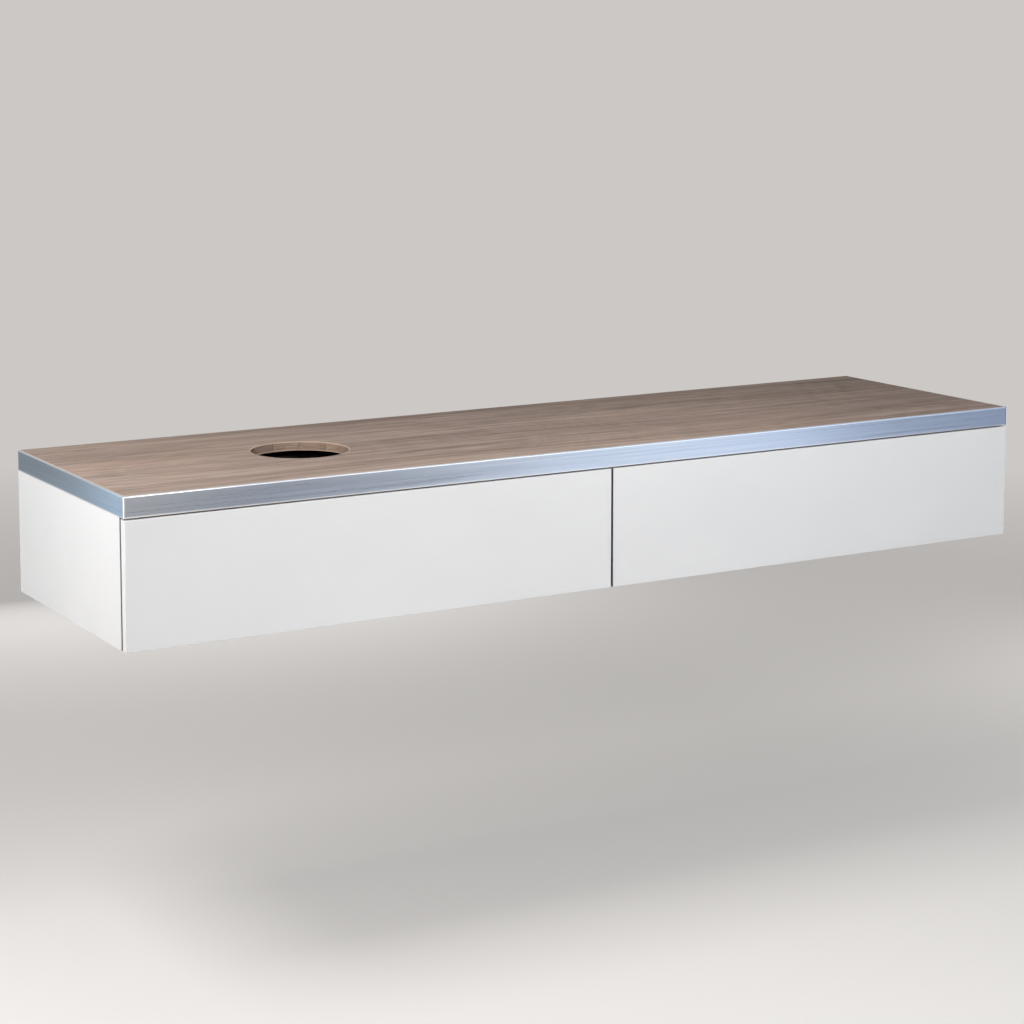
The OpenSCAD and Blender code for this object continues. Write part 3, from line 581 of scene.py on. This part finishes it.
# Painted shade: dark grey on the faces inside the gaps at the fronts.
SHADE_FACING_SPREAD = (0.80, 0.95)
SHADE_BLUER = 1.02
PANEL_EDGE_SHADE = 0.26
GAP_SHADE = 0.22


def white_lacquer(name="white_lacquer", painted_shade_side=None):
    """White satin lacquer with a fine spray texture and faint wiping marks.

    Its last argument, if given, is an axis, a sign and a grey: the side that faces that way is
    painted that grey as painted shade."""
    made, tree, shader = material(
        name, Specular_IOR_Level=0.5, Coat_Weight=0.12, Coat_Roughness=0.22,
    )
    plain = stretched(tree)
    spray = noise(tree, plain, scale=LACQUER_SPRAY_SCALE, detail=2, roughness=0.5)
    waves = noise(tree, plain, scale=LACQUER_WAVE_SCALE, detail=2, roughness=0.4)
    cloud = noise(tree, stretched(tree, LACQUER_CLOUD_STRETCH), detail=4, roughness=0.6)
    wiped = noise(tree, stretched(tree, LACQUER_WIPED_STRETCH),
                  detail=4, roughness=0.7, distortion=1.2)
    specks = noise(tree, plain, scale=LACQUER_SPECK_SCALE, detail=1)
    color = ramp(tree, cloud, LACQUER_TONES)
    color = shaded(tree, color, level(tree, specks, *LACQUER_SPECK_SPREAD))
    # Painted shade: the faces turned the given way are painted grey.
    if painted_shade_side:
        axis, sign, grey = painted_shade_side
        facing = axes(tree, node(tree, "NewGeometry").outputs["True Normal"])
        painted_gap_shade = level(tree, times(tree, facing[axis], sign), *SHADE_FACING_SPREAD)
        color = mix(tree, painted_gap_shade, color, (grey, grey, grey * SHADE_BLUER))
    normal = bump(tree, spray, LACQUER_SPRAY_DEPTH, below=bump(tree, waves, LACQUER_WAVE_DEPTH))
    drive(tree, shader, color, level(tree, wiped, *LACQUER_ROUGHNESS), normal)
    return made


MELAMINE_TONES = ((0.35, (0.048, 0.049, 0.052)), (0.65, (0.064, 0.065, 0.069)))
MELAMINE_CLOUD_STRETCH = (2, 2, 2)
MELAMINE_FLECK_SCALE = 800
MELAMINE_FLECK_SPREAD = (0.70, 0.78)
MELAMINE_FLECK_SHARE = 0.25
MELAMINE_FLECK_TONE = (0.12, 0.12, 0.13)
MELAMINE_ROUGHNESS = (0.3, 0.7, 0.52, 0.62)
MELAMINE_PRESS_SCALE = 900
MELAMINE_PRESS_DEPTH = 0.00006


def dark_melamine():
    """Anthracite melamine on board: a fine leathery press texture and pale flecks."""
    made, tree, shader = material("dark_melamine", Specular_IOR_Level=0.4)
    plain = stretched(tree)
    press = node(tree, "TexVoronoi", {"Vector": plain, "Scale": MELAMINE_PRESS_SCALE},
                 feature="SMOOTH_F1").outputs["Distance"]
    cloud = noise(tree, stretched(tree, MELAMINE_CLOUD_STRETCH), detail=4, roughness=0.6)
    flecks = noise(tree, plain, scale=MELAMINE_FLECK_SCALE, detail=1)
    flecks = level(tree, flecks, *MELAMINE_FLECK_SPREAD)
    color = ramp(tree, cloud, MELAMINE_TONES)
    color = mix(tree, times(tree, flecks, MELAMINE_FLECK_SHARE), color, MELAMINE_FLECK_TONE)
    drive(tree, shader, color, level(tree, cloud, *MELAMINE_ROUGHNESS),
          bump(tree, press, MELAMINE_PRESS_DEPTH))
    return made


CORE_CHIP_STRETCH = (380, 380, 820)
CORE_FINE_STRETCH = (900, 900, 1600)
CORE_TONES = (
    (0.05, (0.250, 0.160, 0.098)),
    (0.40, (0.430, 0.300, 0.200)),
    (0.75, (0.545, 0.400, 0.282)),
    (0.98, (0.650, 0.500, 0.375)),
)
CORE_FINE_SPREAD = (0.45, 0.70, 0.0, 0.35)
CORE_FINE_TONE = (0.21, 0.135, 0.085)
CORE_ROUGHNESS = (0.2, 0.8, 0.92, 0.78)
CORE_DEPTH = 0.00016


def core_board():
    """Pressed wood core: chips of several browns, rough and slightly open."""
    made, tree, shader = material("core_board", Specular_IOR_Level=0.2)
    chips = node(tree, "TexVoronoi", {
        "Vector": stretched(tree, CORE_CHIP_STRETCH),
        "Scale": 1.0,
        "Randomness": 1.0,
    }).outputs
    fine = noise(tree, stretched(tree, CORE_FINE_STRETCH), detail=3, roughness=0.7)
    tone = node(tree, "SeparateColor", {"Color": chips["Color"]}).outputs["Red"]
    color = ramp(tree, tone, CORE_TONES)
    color = mix(tree, level(tree, fine, *CORE_FINE_SPREAD), color, CORE_FINE_TONE)
    drive(tree, shader, color, level(tree, fine, *CORE_ROUGHNESS),
          bump(tree, chips["Distance"], CORE_DEPTH))
    return made


ZINC_TONES = ((0.48, 0.49, 0.51), (0.66, 0.67, 0.68))
SLIDE_TONES = ((0.46, 0.475, 0.49), (0.62, 0.64, 0.66))
ZINC_ROUGHNESS = (0.38, 0.50)
SLIDE_ROUGHNESS = (0.38, 0.48)
ZINC_STRETCH = (260, 260, 260)
ROLLED_STRETCH = (700, 6, 700)
BLOOM_STRETCH = (90, 40, 90)
HANDLED_STRETCH = (14, 9, 22)
ZINC_LINE_SHARE = 0.6
ZINC_BLOOM_SHARE = 0.4
ZINC_STOPS = (0.25, 0.70)
HANDLED_SPREAD = (0.55, 0.75, 0.0, 0.30)
ZINC_DEPTH = 0.00001


def plated_steel(name, tones, roughness, stretch):
    """Zinc-plated steel: lines as it was drawn or rolled, a crystal bloom and handling marks."""
    made, tree, shader = material(name, Metallic=1.0)
    lines = noise(tree, stretched(tree, stretch), detail=3, roughness=0.6)
    bloom = node(tree, "TexVoronoi", {"Vector": stretched(tree, BLOOM_STRETCH), "Scale": 1.0},
                 feature="SMOOTH_F1").outputs["Distance"]
    marks = noise(tree, stretched(tree, HANDLED_STRETCH), detail=4, roughness=0.65, distortion=0.7)
    figure = added(tree, (lines, ZINC_LINE_SHARE), (bloom, ZINC_BLOOM_SHARE))
    color = ramp(tree, figure, tuple(zip(ZINC_STOPS, tones)))
    color = mix(tree, level(tree, marks, *HANDLED_SPREAD), color, tones[0])
    drive(tree, shader, color, level(tree, marks, *NOISE_SPREAD, *roughness),
          bump(tree, lines, ZINC_DEPTH))
    return made


BEARING_STRETCH = (160, 60, 160)
BEARING_TONES = ((0.35, (0.60, 0.58, 0.53)), (0.60, (0.80, 0.80, 0.80)))
BEARING_ROUGHNESS = (0.35, 0.65, 0.28, 0.12)
BEARING_DEPTH = 0.00001


def bearing_steel():
    """Bright pressed cages with polished balls, under a thin film of grease."""
    made, tree, shader = material("bearing_steel", Metallic=1.0)
    film = noise(tree, stretched(tree, BEARING_STRETCH), detail=3, roughness=0.6)
    drive(tree, shader, ramp(tree, film, BEARING_TONES), level(tree, film, *BEARING_ROUGHNESS),
          bump(tree, film, BEARING_DEPTH))
    return made


PLASTIC_SPARK_SCALE = 1500
PLASTIC_SPARK_DEPTH = 0.00005
PLASTIC_FLOW_STRETCH = (18, 18, 30)
PLASTIC_STOPS = (0.35, 0.65)
PALE_PLASTIC_TONES = ((0.66, 0.66, 0.645), (0.74, 0.74, 0.73))
PALE_PLASTIC_ROUGHNESS = (0.42, 0.55)
DARK_PLASTIC_TONES = ((0.030, 0.031, 0.033), (0.048, 0.049, 0.052))
DARK_PLASTIC_ROUGHNESS = (0.40, 0.52)


def moulded_plastic(name, tones, roughness):
    """Spark-textured moulded plastic."""
    made, tree, shader = material(name, Specular_IOR_Level=0.45)
    spark = noise(tree, stretched(tree), scale=PLASTIC_SPARK_SCALE, detail=2, roughness=0.6)
    flow = noise(tree, stretched(tree, PLASTIC_FLOW_STRETCH),
                 detail=3, roughness=0.5, distortion=0.5)
    drive(tree, shader, ramp(tree, flow, tuple(zip(PLASTIC_STOPS, tones))),
          level(tree, flow, *NOISE_SPREAD, *roughness), bump(tree, spark, PLASTIC_SPARK_DEPTH))
    return made


finishes = {
    "wood_decor": wood_decor(),
    "wood_edging": wood_edging(),
    "brushed_band": brushed_aluminium("brushed_front", True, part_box("front_band")),
    "core_board": core_board(),
    "white_lacquer": white_lacquer(),
    "dark_melamine": dark_melamine(),
    "zinc_steel": plated_steel("zinc_steel", ZINC_TONES, ZINC_ROUGHNESS, ZINC_STRETCH),
    "slide_steel": plated_steel("slide_steel", SLIDE_TONES, SLIDE_ROUGHNESS, ROLLED_STRETCH),
    "bearing_steel": bearing_steel(),
    "pale_plastic": moulded_plastic("pale_plastic", PALE_PLASTIC_TONES, PALE_PLASTIC_ROUGHNESS),
    "dark_plastic": moulded_plastic("dark_plastic", DARK_PLASTIC_TONES, DARK_PLASTIC_ROUGHNESS),
}
# The side panels' front edges are painted dark grey: painted shade in the gap behind the fronts.
side_lacquer = white_lacquer("side_lacquer", ("Y", -1, PANEL_EDGE_SHADE))
own_finishes = {
    # The end bands are a lighter copy of the front band's aluminium: painted light.
    "left_band": brushed_aluminium("brushed_left", False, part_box("left_band"), BRUSHED_END_PAINTED_LIGHT),
    "right_band": brushed_aluminium("brushed_right", False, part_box("right_band"), BRUSHED_END_PAINTED_LIGHT),
    "left_side_panel": side_lacquer,
    "right_side_panel": side_lacquer,
    # The fronts' faces at the gap between them are painted dark grey: painted shade.
    "left_drawer_front": white_lacquer("left_front_lacquer", ("X", 1, GAP_SHADE)),
    "right_drawer_front": white_lacquer("right_front_lacquer", ("X", -1, GAP_SHADE)),
}


def dress(thing, finish):
    thing.data.materials.clear()
    thing.data.materials.append(finish)


for name, thing in nodes.items():
    dress(thing, own_finishes.get(name) or finishes[slot_of[name]])


# Mesh helpers


def piece(name, mesh, stands_for, smooth_angle=SMOOTH):
    """Turns a bmesh into a piece that stands for a node: its body and finish are the node's."""
    bmesh.ops.recalc_face_normals(mesh, faces=mesh.faces)
    data = bpy.data.meshes.new(name)
    mesh.to_mesh(data)
    mesh.free()
    data.shade_smooth()
    data.set_sharp_from_angle(angle=math.radians(smooth_angle))
    made = bpy.data.objects.new(name, data)
    bpy.context.scene.collection.objects.link(made)
    weighted = made.modifiers.new("weighted_normals", "WEIGHTED_NORMAL")
    weighted.keep_sharp = True
    dress(made, nodes[stands_for].data.materials[0])
    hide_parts(stands_for)
    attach(made, body_of[stands_for])


def welded(node_name):
    """A node's own form, with the points that share a place joined."""
    mesh = bmesh.new()
    mesh.from_mesh(nodes[node_name].data)
    bmesh.ops.remove_doubles(mesh, verts=mesh.verts, dist=WELD)
    return mesh


def softened(node_name, radius, steps):
    """A node's own form with its long edges rounded."""
    mesh = welded(node_name)
    bmesh.ops.dissolve_limit(mesh, angle_limit=math.radians(FLAT), verts=mesh.verts,
                             edges=mesh.edges)
    edges = [
        edge for edge in mesh.edges
        if edge.calc_length() > SHORTEST_EASED
        and edge.is_manifold
        and edge.calc_face_angle() > math.radians(EASED_FROM)
    ]
    bmesh.ops.bevel(mesh, geom=edges, offset=radius, segments=steps, profile=0.5,
                    affect="EDGES", clamp_overlap=True)
    bmesh.ops.remove_doubles(mesh, verts=mesh.verts, dist=WELD)
    return mesh


def soften(node_names, radius, steps=2):
    """Has each of the nodes stood for by its own form with its long edges rounded."""
    for name in node_names:
        piece(name + "_eased", softened(name, radius, steps), name)


def lathe(mesh, section, steps, matrix):
    """Turns a closed section of (radius, height) points round Z, and places it by a matrix."""
    rings = []
    for step in range(steps):
        angle = 2 * math.pi * step / steps
        c, s = math.cos(angle), math.sin(angle)
        rings.append([mesh.verts.new(matrix @ Vector((r * c, r * s, z))) for r, z in section])
    for step, ring in enumerate(rings):
        following = rings[(step + 1) % steps]
        for index in range(len(section)):
            after = (index + 1) % len(section)
            mesh.faces.new([ring[index], following[index], following[after], ring[after]])


def corner(centre_u, centre_v, radius, start, steps=4):
    """Points of a quarter circle from a start angle in degrees."""
    angles = [math.radians(start + 90 * i / steps) for i in range(steps + 1)]
    return [(centre_u + radius * math.cos(a), centre_v + radius * math.sin(a)) for a in angles]


def ring_of(mesh, matrix, points, height):
    return [mesh.verts.new(matrix @ Vector((u, v, height))) for u, v in points]


def skin(mesh, low, high):
    """Faces between two rings of as many points."""
    for index in range(len(low)):
        after = (index + 1) % len(low)
        mesh.faces.new([low[index], low[after], high[after], high[index]])


def circle(radius):
    turns = [2 * math.pi * (i + 0.5) / ROUND_STEPS for i in range(ROUND_STEPS)]
    return [(radius * math.cos(a), radius * math.sin(a)) for a in turns]


def cross(radius, arm):
    """Corners of a cross whose arms reach a radius and are twice arm wide."""
    turned = []
    for c, s in ((1, 0), (0, 1), (-1, 0), (0, -1)):
        quarter = [(radius, -arm), (radius, arm), (arm, arm)]
        turned += [(u * c - v * s, u * s + v * c) for u, v in quarter]
    return turned


def headed_pin(mesh, matrix, radius, height, shank, length, crown):
    """A pin along -Z under a head with a cross recess. The head stands on z = 0 and is crowned."""
    levels = []
    if length:
        levels += [(shank * POINT_SHARE, -length), (shank, shank - length), (shank, 0)]
    levels += [(radius, 0), (radius, height * (1 - crown))]
    for share in CROWN_STEPS:
        turn = share * math.pi / 2
        levels.append((radius - crown * height * (1 - math.cos(turn)),
                       height - crown * height * (1 - math.sin(turn))))
    rings = [ring_of(mesh, matrix, circle(r), z) for r, z in levels]
    for low, high in zip(rings, rings[1:]):
        skin(mesh, low, high)
    mesh.faces.new(list(reversed(rings[0])))

    reach, arm = radius * RECESS_REACH, radius * RECESS_ARM
    mouth = ring_of(mesh, matrix, cross(reach, arm), height)
    foot = ring_of(mesh, matrix, cross(reach * RECESS_TAPER, arm * RECESS_TAPER),
                   height * (1 - RECESS_DEPTH))
    skin(mesh, mouth, foot)
    mesh.faces.new(foot)
    edges = []
    for loop in (rings[-1], mouth):
        for pair in zip(loop, loop[1:] + loop[:1]):
            edges.append(mesh.edges.get(pair) or mesh.edges.new(pair))
    bmesh.ops.triangle_fill(mesh, edges=edges, use_beauty=True)


def bolt(mesh, matrix, radius, length):
    """A plain bolt along +Z with chamfered ends."""
    e = radius * BOLT_EDGE
    section = [(BOLT_BORE, 0), (radius - e, 0), (radius, e),
               (radius, length - e), (radius - e, length), (BOLT_BORE, length)]
    lathe(mesh, section, ROUND_STEPS, matrix)


def islands(node_name):
    """The separate solids of a node, each as its list of points, in the order of their middles."""

    def middle(points):
        return tuple(round(c, MIDDLE_DIGITS) for c in sum(points, Vector()) / len(points))

    mesh = welded(node_name)
    left, found = set(mesh.verts), []
    while left:
        front, group = [left.pop()], []
        while front:
            vertex = front.pop()
            group.append(vertex.co.copy())
            for edge in vertex.link_edges:
                other = edge.other_vert(vertex)
                if other in left:
                    left.remove(other)
                    front.append(other)
        found.append(group)
    mesh.free()
    return sorted(found, key=middle)


def extent(points):
    """The corners of the box round some points."""
    return [Vector([pick(p[i] for p in points) for i in range(3)]) for pick in (min, max)]


def axis_frame(origin, axis, sign):
    """A matrix that carries +Z to plus or minus one of the main axes."""
    out = Vector((0, 0, 0))
    out[axis] = sign
    return Matrix.Translation(origin) @ out.to_track_quat("Z", "Y").to_matrix().to_4x4()


def measured_pin(points):
    """Axis of a headed pin, direction and foot of its head, radius and length of head and shank."""
    low, high = extent(points)
    middle, size = (low + high) / 2, high - low
    spreads = [abs(size[(i + 1) % 3] - size[(i + 2) % 3]) for i in range(3)]
    axis = spreads.index(min(spreads))
    u, v = [i for i in range(3) if i != axis]
    reach = [math.hypot(p[u] - middle[u], p[v] - middle[v]) for p in points]
    radius = max(reach)
    wide = [p[axis] for p, r in zip(points, reach) if r > radius * HEAD_FROM]
    sign = 1 if sum(wide) / len(wide) > middle[axis] else -1
    head = max(wide) - min(wide)
    tip = low[axis] if sign > 0 else high[axis]
    shank = max(r for p, r in zip(points, reach) if abs(p[axis] - tip) < SAME_HEIGHT)
    foot = middle.copy()
    foot[axis] = min(wide) if sign > 0 else max(wide)
    return axis, sign, foot, radius, head, shank, size[axis] - head


# Pieces with finer edges than the frame's own solids


def lining():
    """Lining of the cut-out, with both of its inner rims rounded."""
    low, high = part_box("cutout_lining")
    outer = (high.x - low.x) / 2
    e = LINING_EDGE
    section = [(outer, low.z), (outer, high.z)]
    section += corner(cutout_radius + e, high.z - e, e, 90)
    section += corner(cutout_radius + e, low.z + e, e, 180)
    mesh = bmesh.new()
    lathe(mesh, section, LINING_STEPS, Matrix.Translation((cutout_x, cutout_y, 0)))
    piece("cutout_edging", mesh, "cutout_lining")


def screws(node_name):
    """The screws of a node, each built to the measures of its own solid."""
    mesh = bmesh.new()
    for points in islands(node_name):
        axis, sign, foot, radius, head, shank, length = measured_pin(points)
        matrix = axis_frame(foot, axis, sign)
        headed_pin(mesh, matrix, radius, head, shank, length, HEAD_CROWN)
    piece(node_name + "_turned", mesh, node_name, SMOOTH_SMALL)


def cams():
    """Bolts that point away from their upright board, and cross-slotted discs that face inwards."""
    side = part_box("right_side_panel")[0].x
    mesh = bmesh.new()
    for points in islands("cam_fittings"):
        low, high = extent(points)
        middle, size = (low + high) / 2, high - low
        if size.x > size.y * BOLT_SLENDER:
            upright = min((-side, 0, side), key=lambda x: abs(middle.x - x))
            away = 1 if middle.x > upright else -1
            foot = Vector((low.x if away > 0 else high.x, middle.y, middle.z))
            bolt(mesh, axis_frame(foot, 0, away), size.y / 2, size.x)
        else:
            sign = -1 if middle.z > 0 else 1
            foot = Vector((middle.x, middle.y, high.z if sign < 0 else low.z))
            matrix = axis_frame(foot, 2, sign)
            headed_pin(mesh, matrix, radius=size.y / 2, height=size.z, shank=0, length=0,
                       crown=CAM_LIP / size.z)
    piece("cam_fittings_cast", mesh, "cam_fittings", SMOOTH_SMALL)


def surround():
    """Moulded lining of the trap's recess: a wall with round corners and a flange at its foot."""
    low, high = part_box("trap_surround")
    floor_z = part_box("left_drawer_bottom")[1].z
    wall_left, wall_right = low.x + SURROUND_FLANGE, high.x - SURROUND_FLANGE
    front = low.y + SURROUND_FLANGE
    thick = SURROUND_WALL
    mesh = bmesh.new()

    def outline(offset, back):
        """The outside of the wall, moved out by an offset, from back left to back right."""
        radius = SURROUND_CORNER + thick + offset
        left, right, ahead = wall_left - offset, wall_right + offset, front - offset
        path = [(left, back)]
        path += corner(left + radius, ahead + radius, radius, 180, SURROUND_STEPS)
        path += corner(right - radius, ahead + radius, radius, 270, SURROUND_STEPS)
        return path + [(right, back)]

    def band(section, back):
        """A solid that carries a closed section of (offset, height) points along the outline."""
        rows = [[mesh.verts.new((x, y, z)) for x, y in outline(offset, back)]
                for offset, z in section]
        for index, row in enumerate(rows):
            after = rows[(index + 1) % len(rows)]
            for i in range(len(row) - 1):
                mesh.faces.new([row[i], row[i + 1], after[i + 1], after[i]])
        mesh.faces.new([row[0] for row in rows])
        mesh.faces.new([row[-1] for row in reversed(rows)])

    e = thick / 2
    rim = corner(-e, high.z - e, e, 0) + corner(-e, high.z - e, e, 90)[1:]
    band([(-thick, low.z), (0, low.z)] + rim, high.y)
    top = floor_z + thick
    lip = corner(SURROUND_FLANGE - e / 2, top - e / 2, e / 2, 0)
    band([(0, floor_z), (SURROUND_FLANGE, floor_z)] + lip + [(0, top)],
         high.y - SURROUND_BACK_BOARD)
    piece("trap_surround_moulded", mesh, "trap_surround")


lining()
surround()
cams()
for fixing in SCREWS:
    screws(fixing)

# The balls have triangles of no area at their poles, which go when the points are joined
for name in nodes:
    if name.endswith("ball_cages"):
        piece(name + "_pressed", welded(name), name, SMOOTH_SMALL)

lacquered = [name for name in nodes if slot_of[name] == "white_lacquer"]
melamine = [name for name in nodes if slot_of[name] == "dark_melamine"]
soften(lacquered, LACQUER_EDGE, steps=3)
soften(melamine, MELAMINE_EDGE)
soften(("hanger_housings", "latch_housings"), PLASTIC_EDGE)
soften(("wall_rail", "hanger_hooks"), STEEL_EDGE)


# Stage, light and camera


def seen_directly(tree):
    """1 for the camera's, glossy and transmission rays, which see the plain backdrop."""
    path = node(tree, "LightPath").outputs
    seen = calc(tree, "MAXIMUM", path["Is Camera Ray"], path["Is Glossy Ray"])
    return calc(tree, "MAXIMUM", seen, path["Is Transmission Ray"])


def floor():
    """A floor that fades into the backdrop and isn't there from below."""
    half = FLOOR_SIZE / 2
    data = bpy.data.meshes.new("floor")
    corners = [(x * half, y * half, FLOOR_Z) for x, y in ((-1, -1), (1, -1), (1, 1), (-1, 1))]
    data.from_pydata(corners, [], [(0, 1, 2, 3)])
    made = bpy.data.objects.new("floor", data)
    bpy.context.scene.collection.objects.link(made)
    tone = [FLOOR_ALBEDO * channel / BACKGROUND[0] for channel in BACKGROUND]
    finish, tree, shader = material(
        "floor", Roughness=0.9, Specular_IOR_Level=0.1, Base_Color=(*tone, 1),
        Emission_Color=(*BACKGROUND, 1),
    )
    seen = seen_directly(tree)
    tree.links.new(times(tree, seen, FLOOR_LIFT), shader.inputs["Emission Strength"])
    away = node(tree, "VectorMath", {0: own_place(tree)}, operation="LENGTH").outputs["Value"]
    fade = times(tree, level(tree, away, *FLOOR_FADE), seen)
    backdrop = node(tree, "Emission", {"Color": (*BACKGROUND, 1)})
    above = node(tree, "MixShader", {0: fade, 1: shader.outputs[0], 2: backdrop.outputs[0]})
    below = node(tree, "BsdfTransparent")
    from_below = node(tree, "NewGeometry").outputs["Backfacing"]
    both = node(tree, "MixShader", {0: from_below, 1: above.outputs[0], 2: below.outputs[0]})
    tree.links.new(both.outputs[0], tree.nodes["Material Output"].inputs["Surface"])
    data.materials.append(finish)


def world():
    """A dim dome that lights the part, behind the plain backdrop that is seen."""
    made = bpy.data.worlds.new("studio")
    bpy.context.scene.world = made
    made.use_nodes = True
    tree = made.node_tree
    tree.nodes.clear()
    dome = node(tree, "Background", {"Color": (*DOME_COLOR, 1), "Strength": DOME_STRENGTH})
    backdrop = node(tree, "Background", {"Color": (*BACKGROUND, 1)})
    both = node(tree, "MixShader", {
        0: seen_directly(tree),
        1: dome.outputs[0],
        2: backdrop.outputs[0],
    })
    node(tree, "OutputWorld", {"Surface": both.outputs[0]})


def softbox(name, place, aim, size, power, color):
    data = bpy.data.lights.new(name, "AREA")
    data.shape = "RECTANGLE"
    data.size, data.size_y = size
    data.energy = power
    data.color = color
    made = bpy.data.objects.new(name, data)
    bpy.context.scene.collection.objects.link(made)
    made.location = place
    made.rotation_euler = (Vector(aim) - Vector(place)).to_track_quat("-Z", "Y").to_euler()
    made.visible_camera = False


def camera():
    data = bpy.data.cameras.new("camera")
    data.sensor_width = SENSOR_WIDTH
    data.lens = FOCAL_PIXELS / IMAGE_WIDTH * SENSOR_WIDTH
    data.shift_y = (PRINCIPAL_ROW - IMAGE_WIDTH / 2) / IMAGE_WIDTH
    made = bpy.data.objects.new("camera", data)
    bpy.context.scene.collection.objects.link(made)
    made.location = CAMERA_PLACE
    made.rotation_euler = (math.pi / 2 - CAMERA_PITCH, 0, -CAMERA_YAW)
    bpy.context.scene.camera = made


floor()
world()
for lamp in LAMPS:
    softbox(*lamp)
camera()
bpy.context.scene.view_settings.view_transform = "Standard"
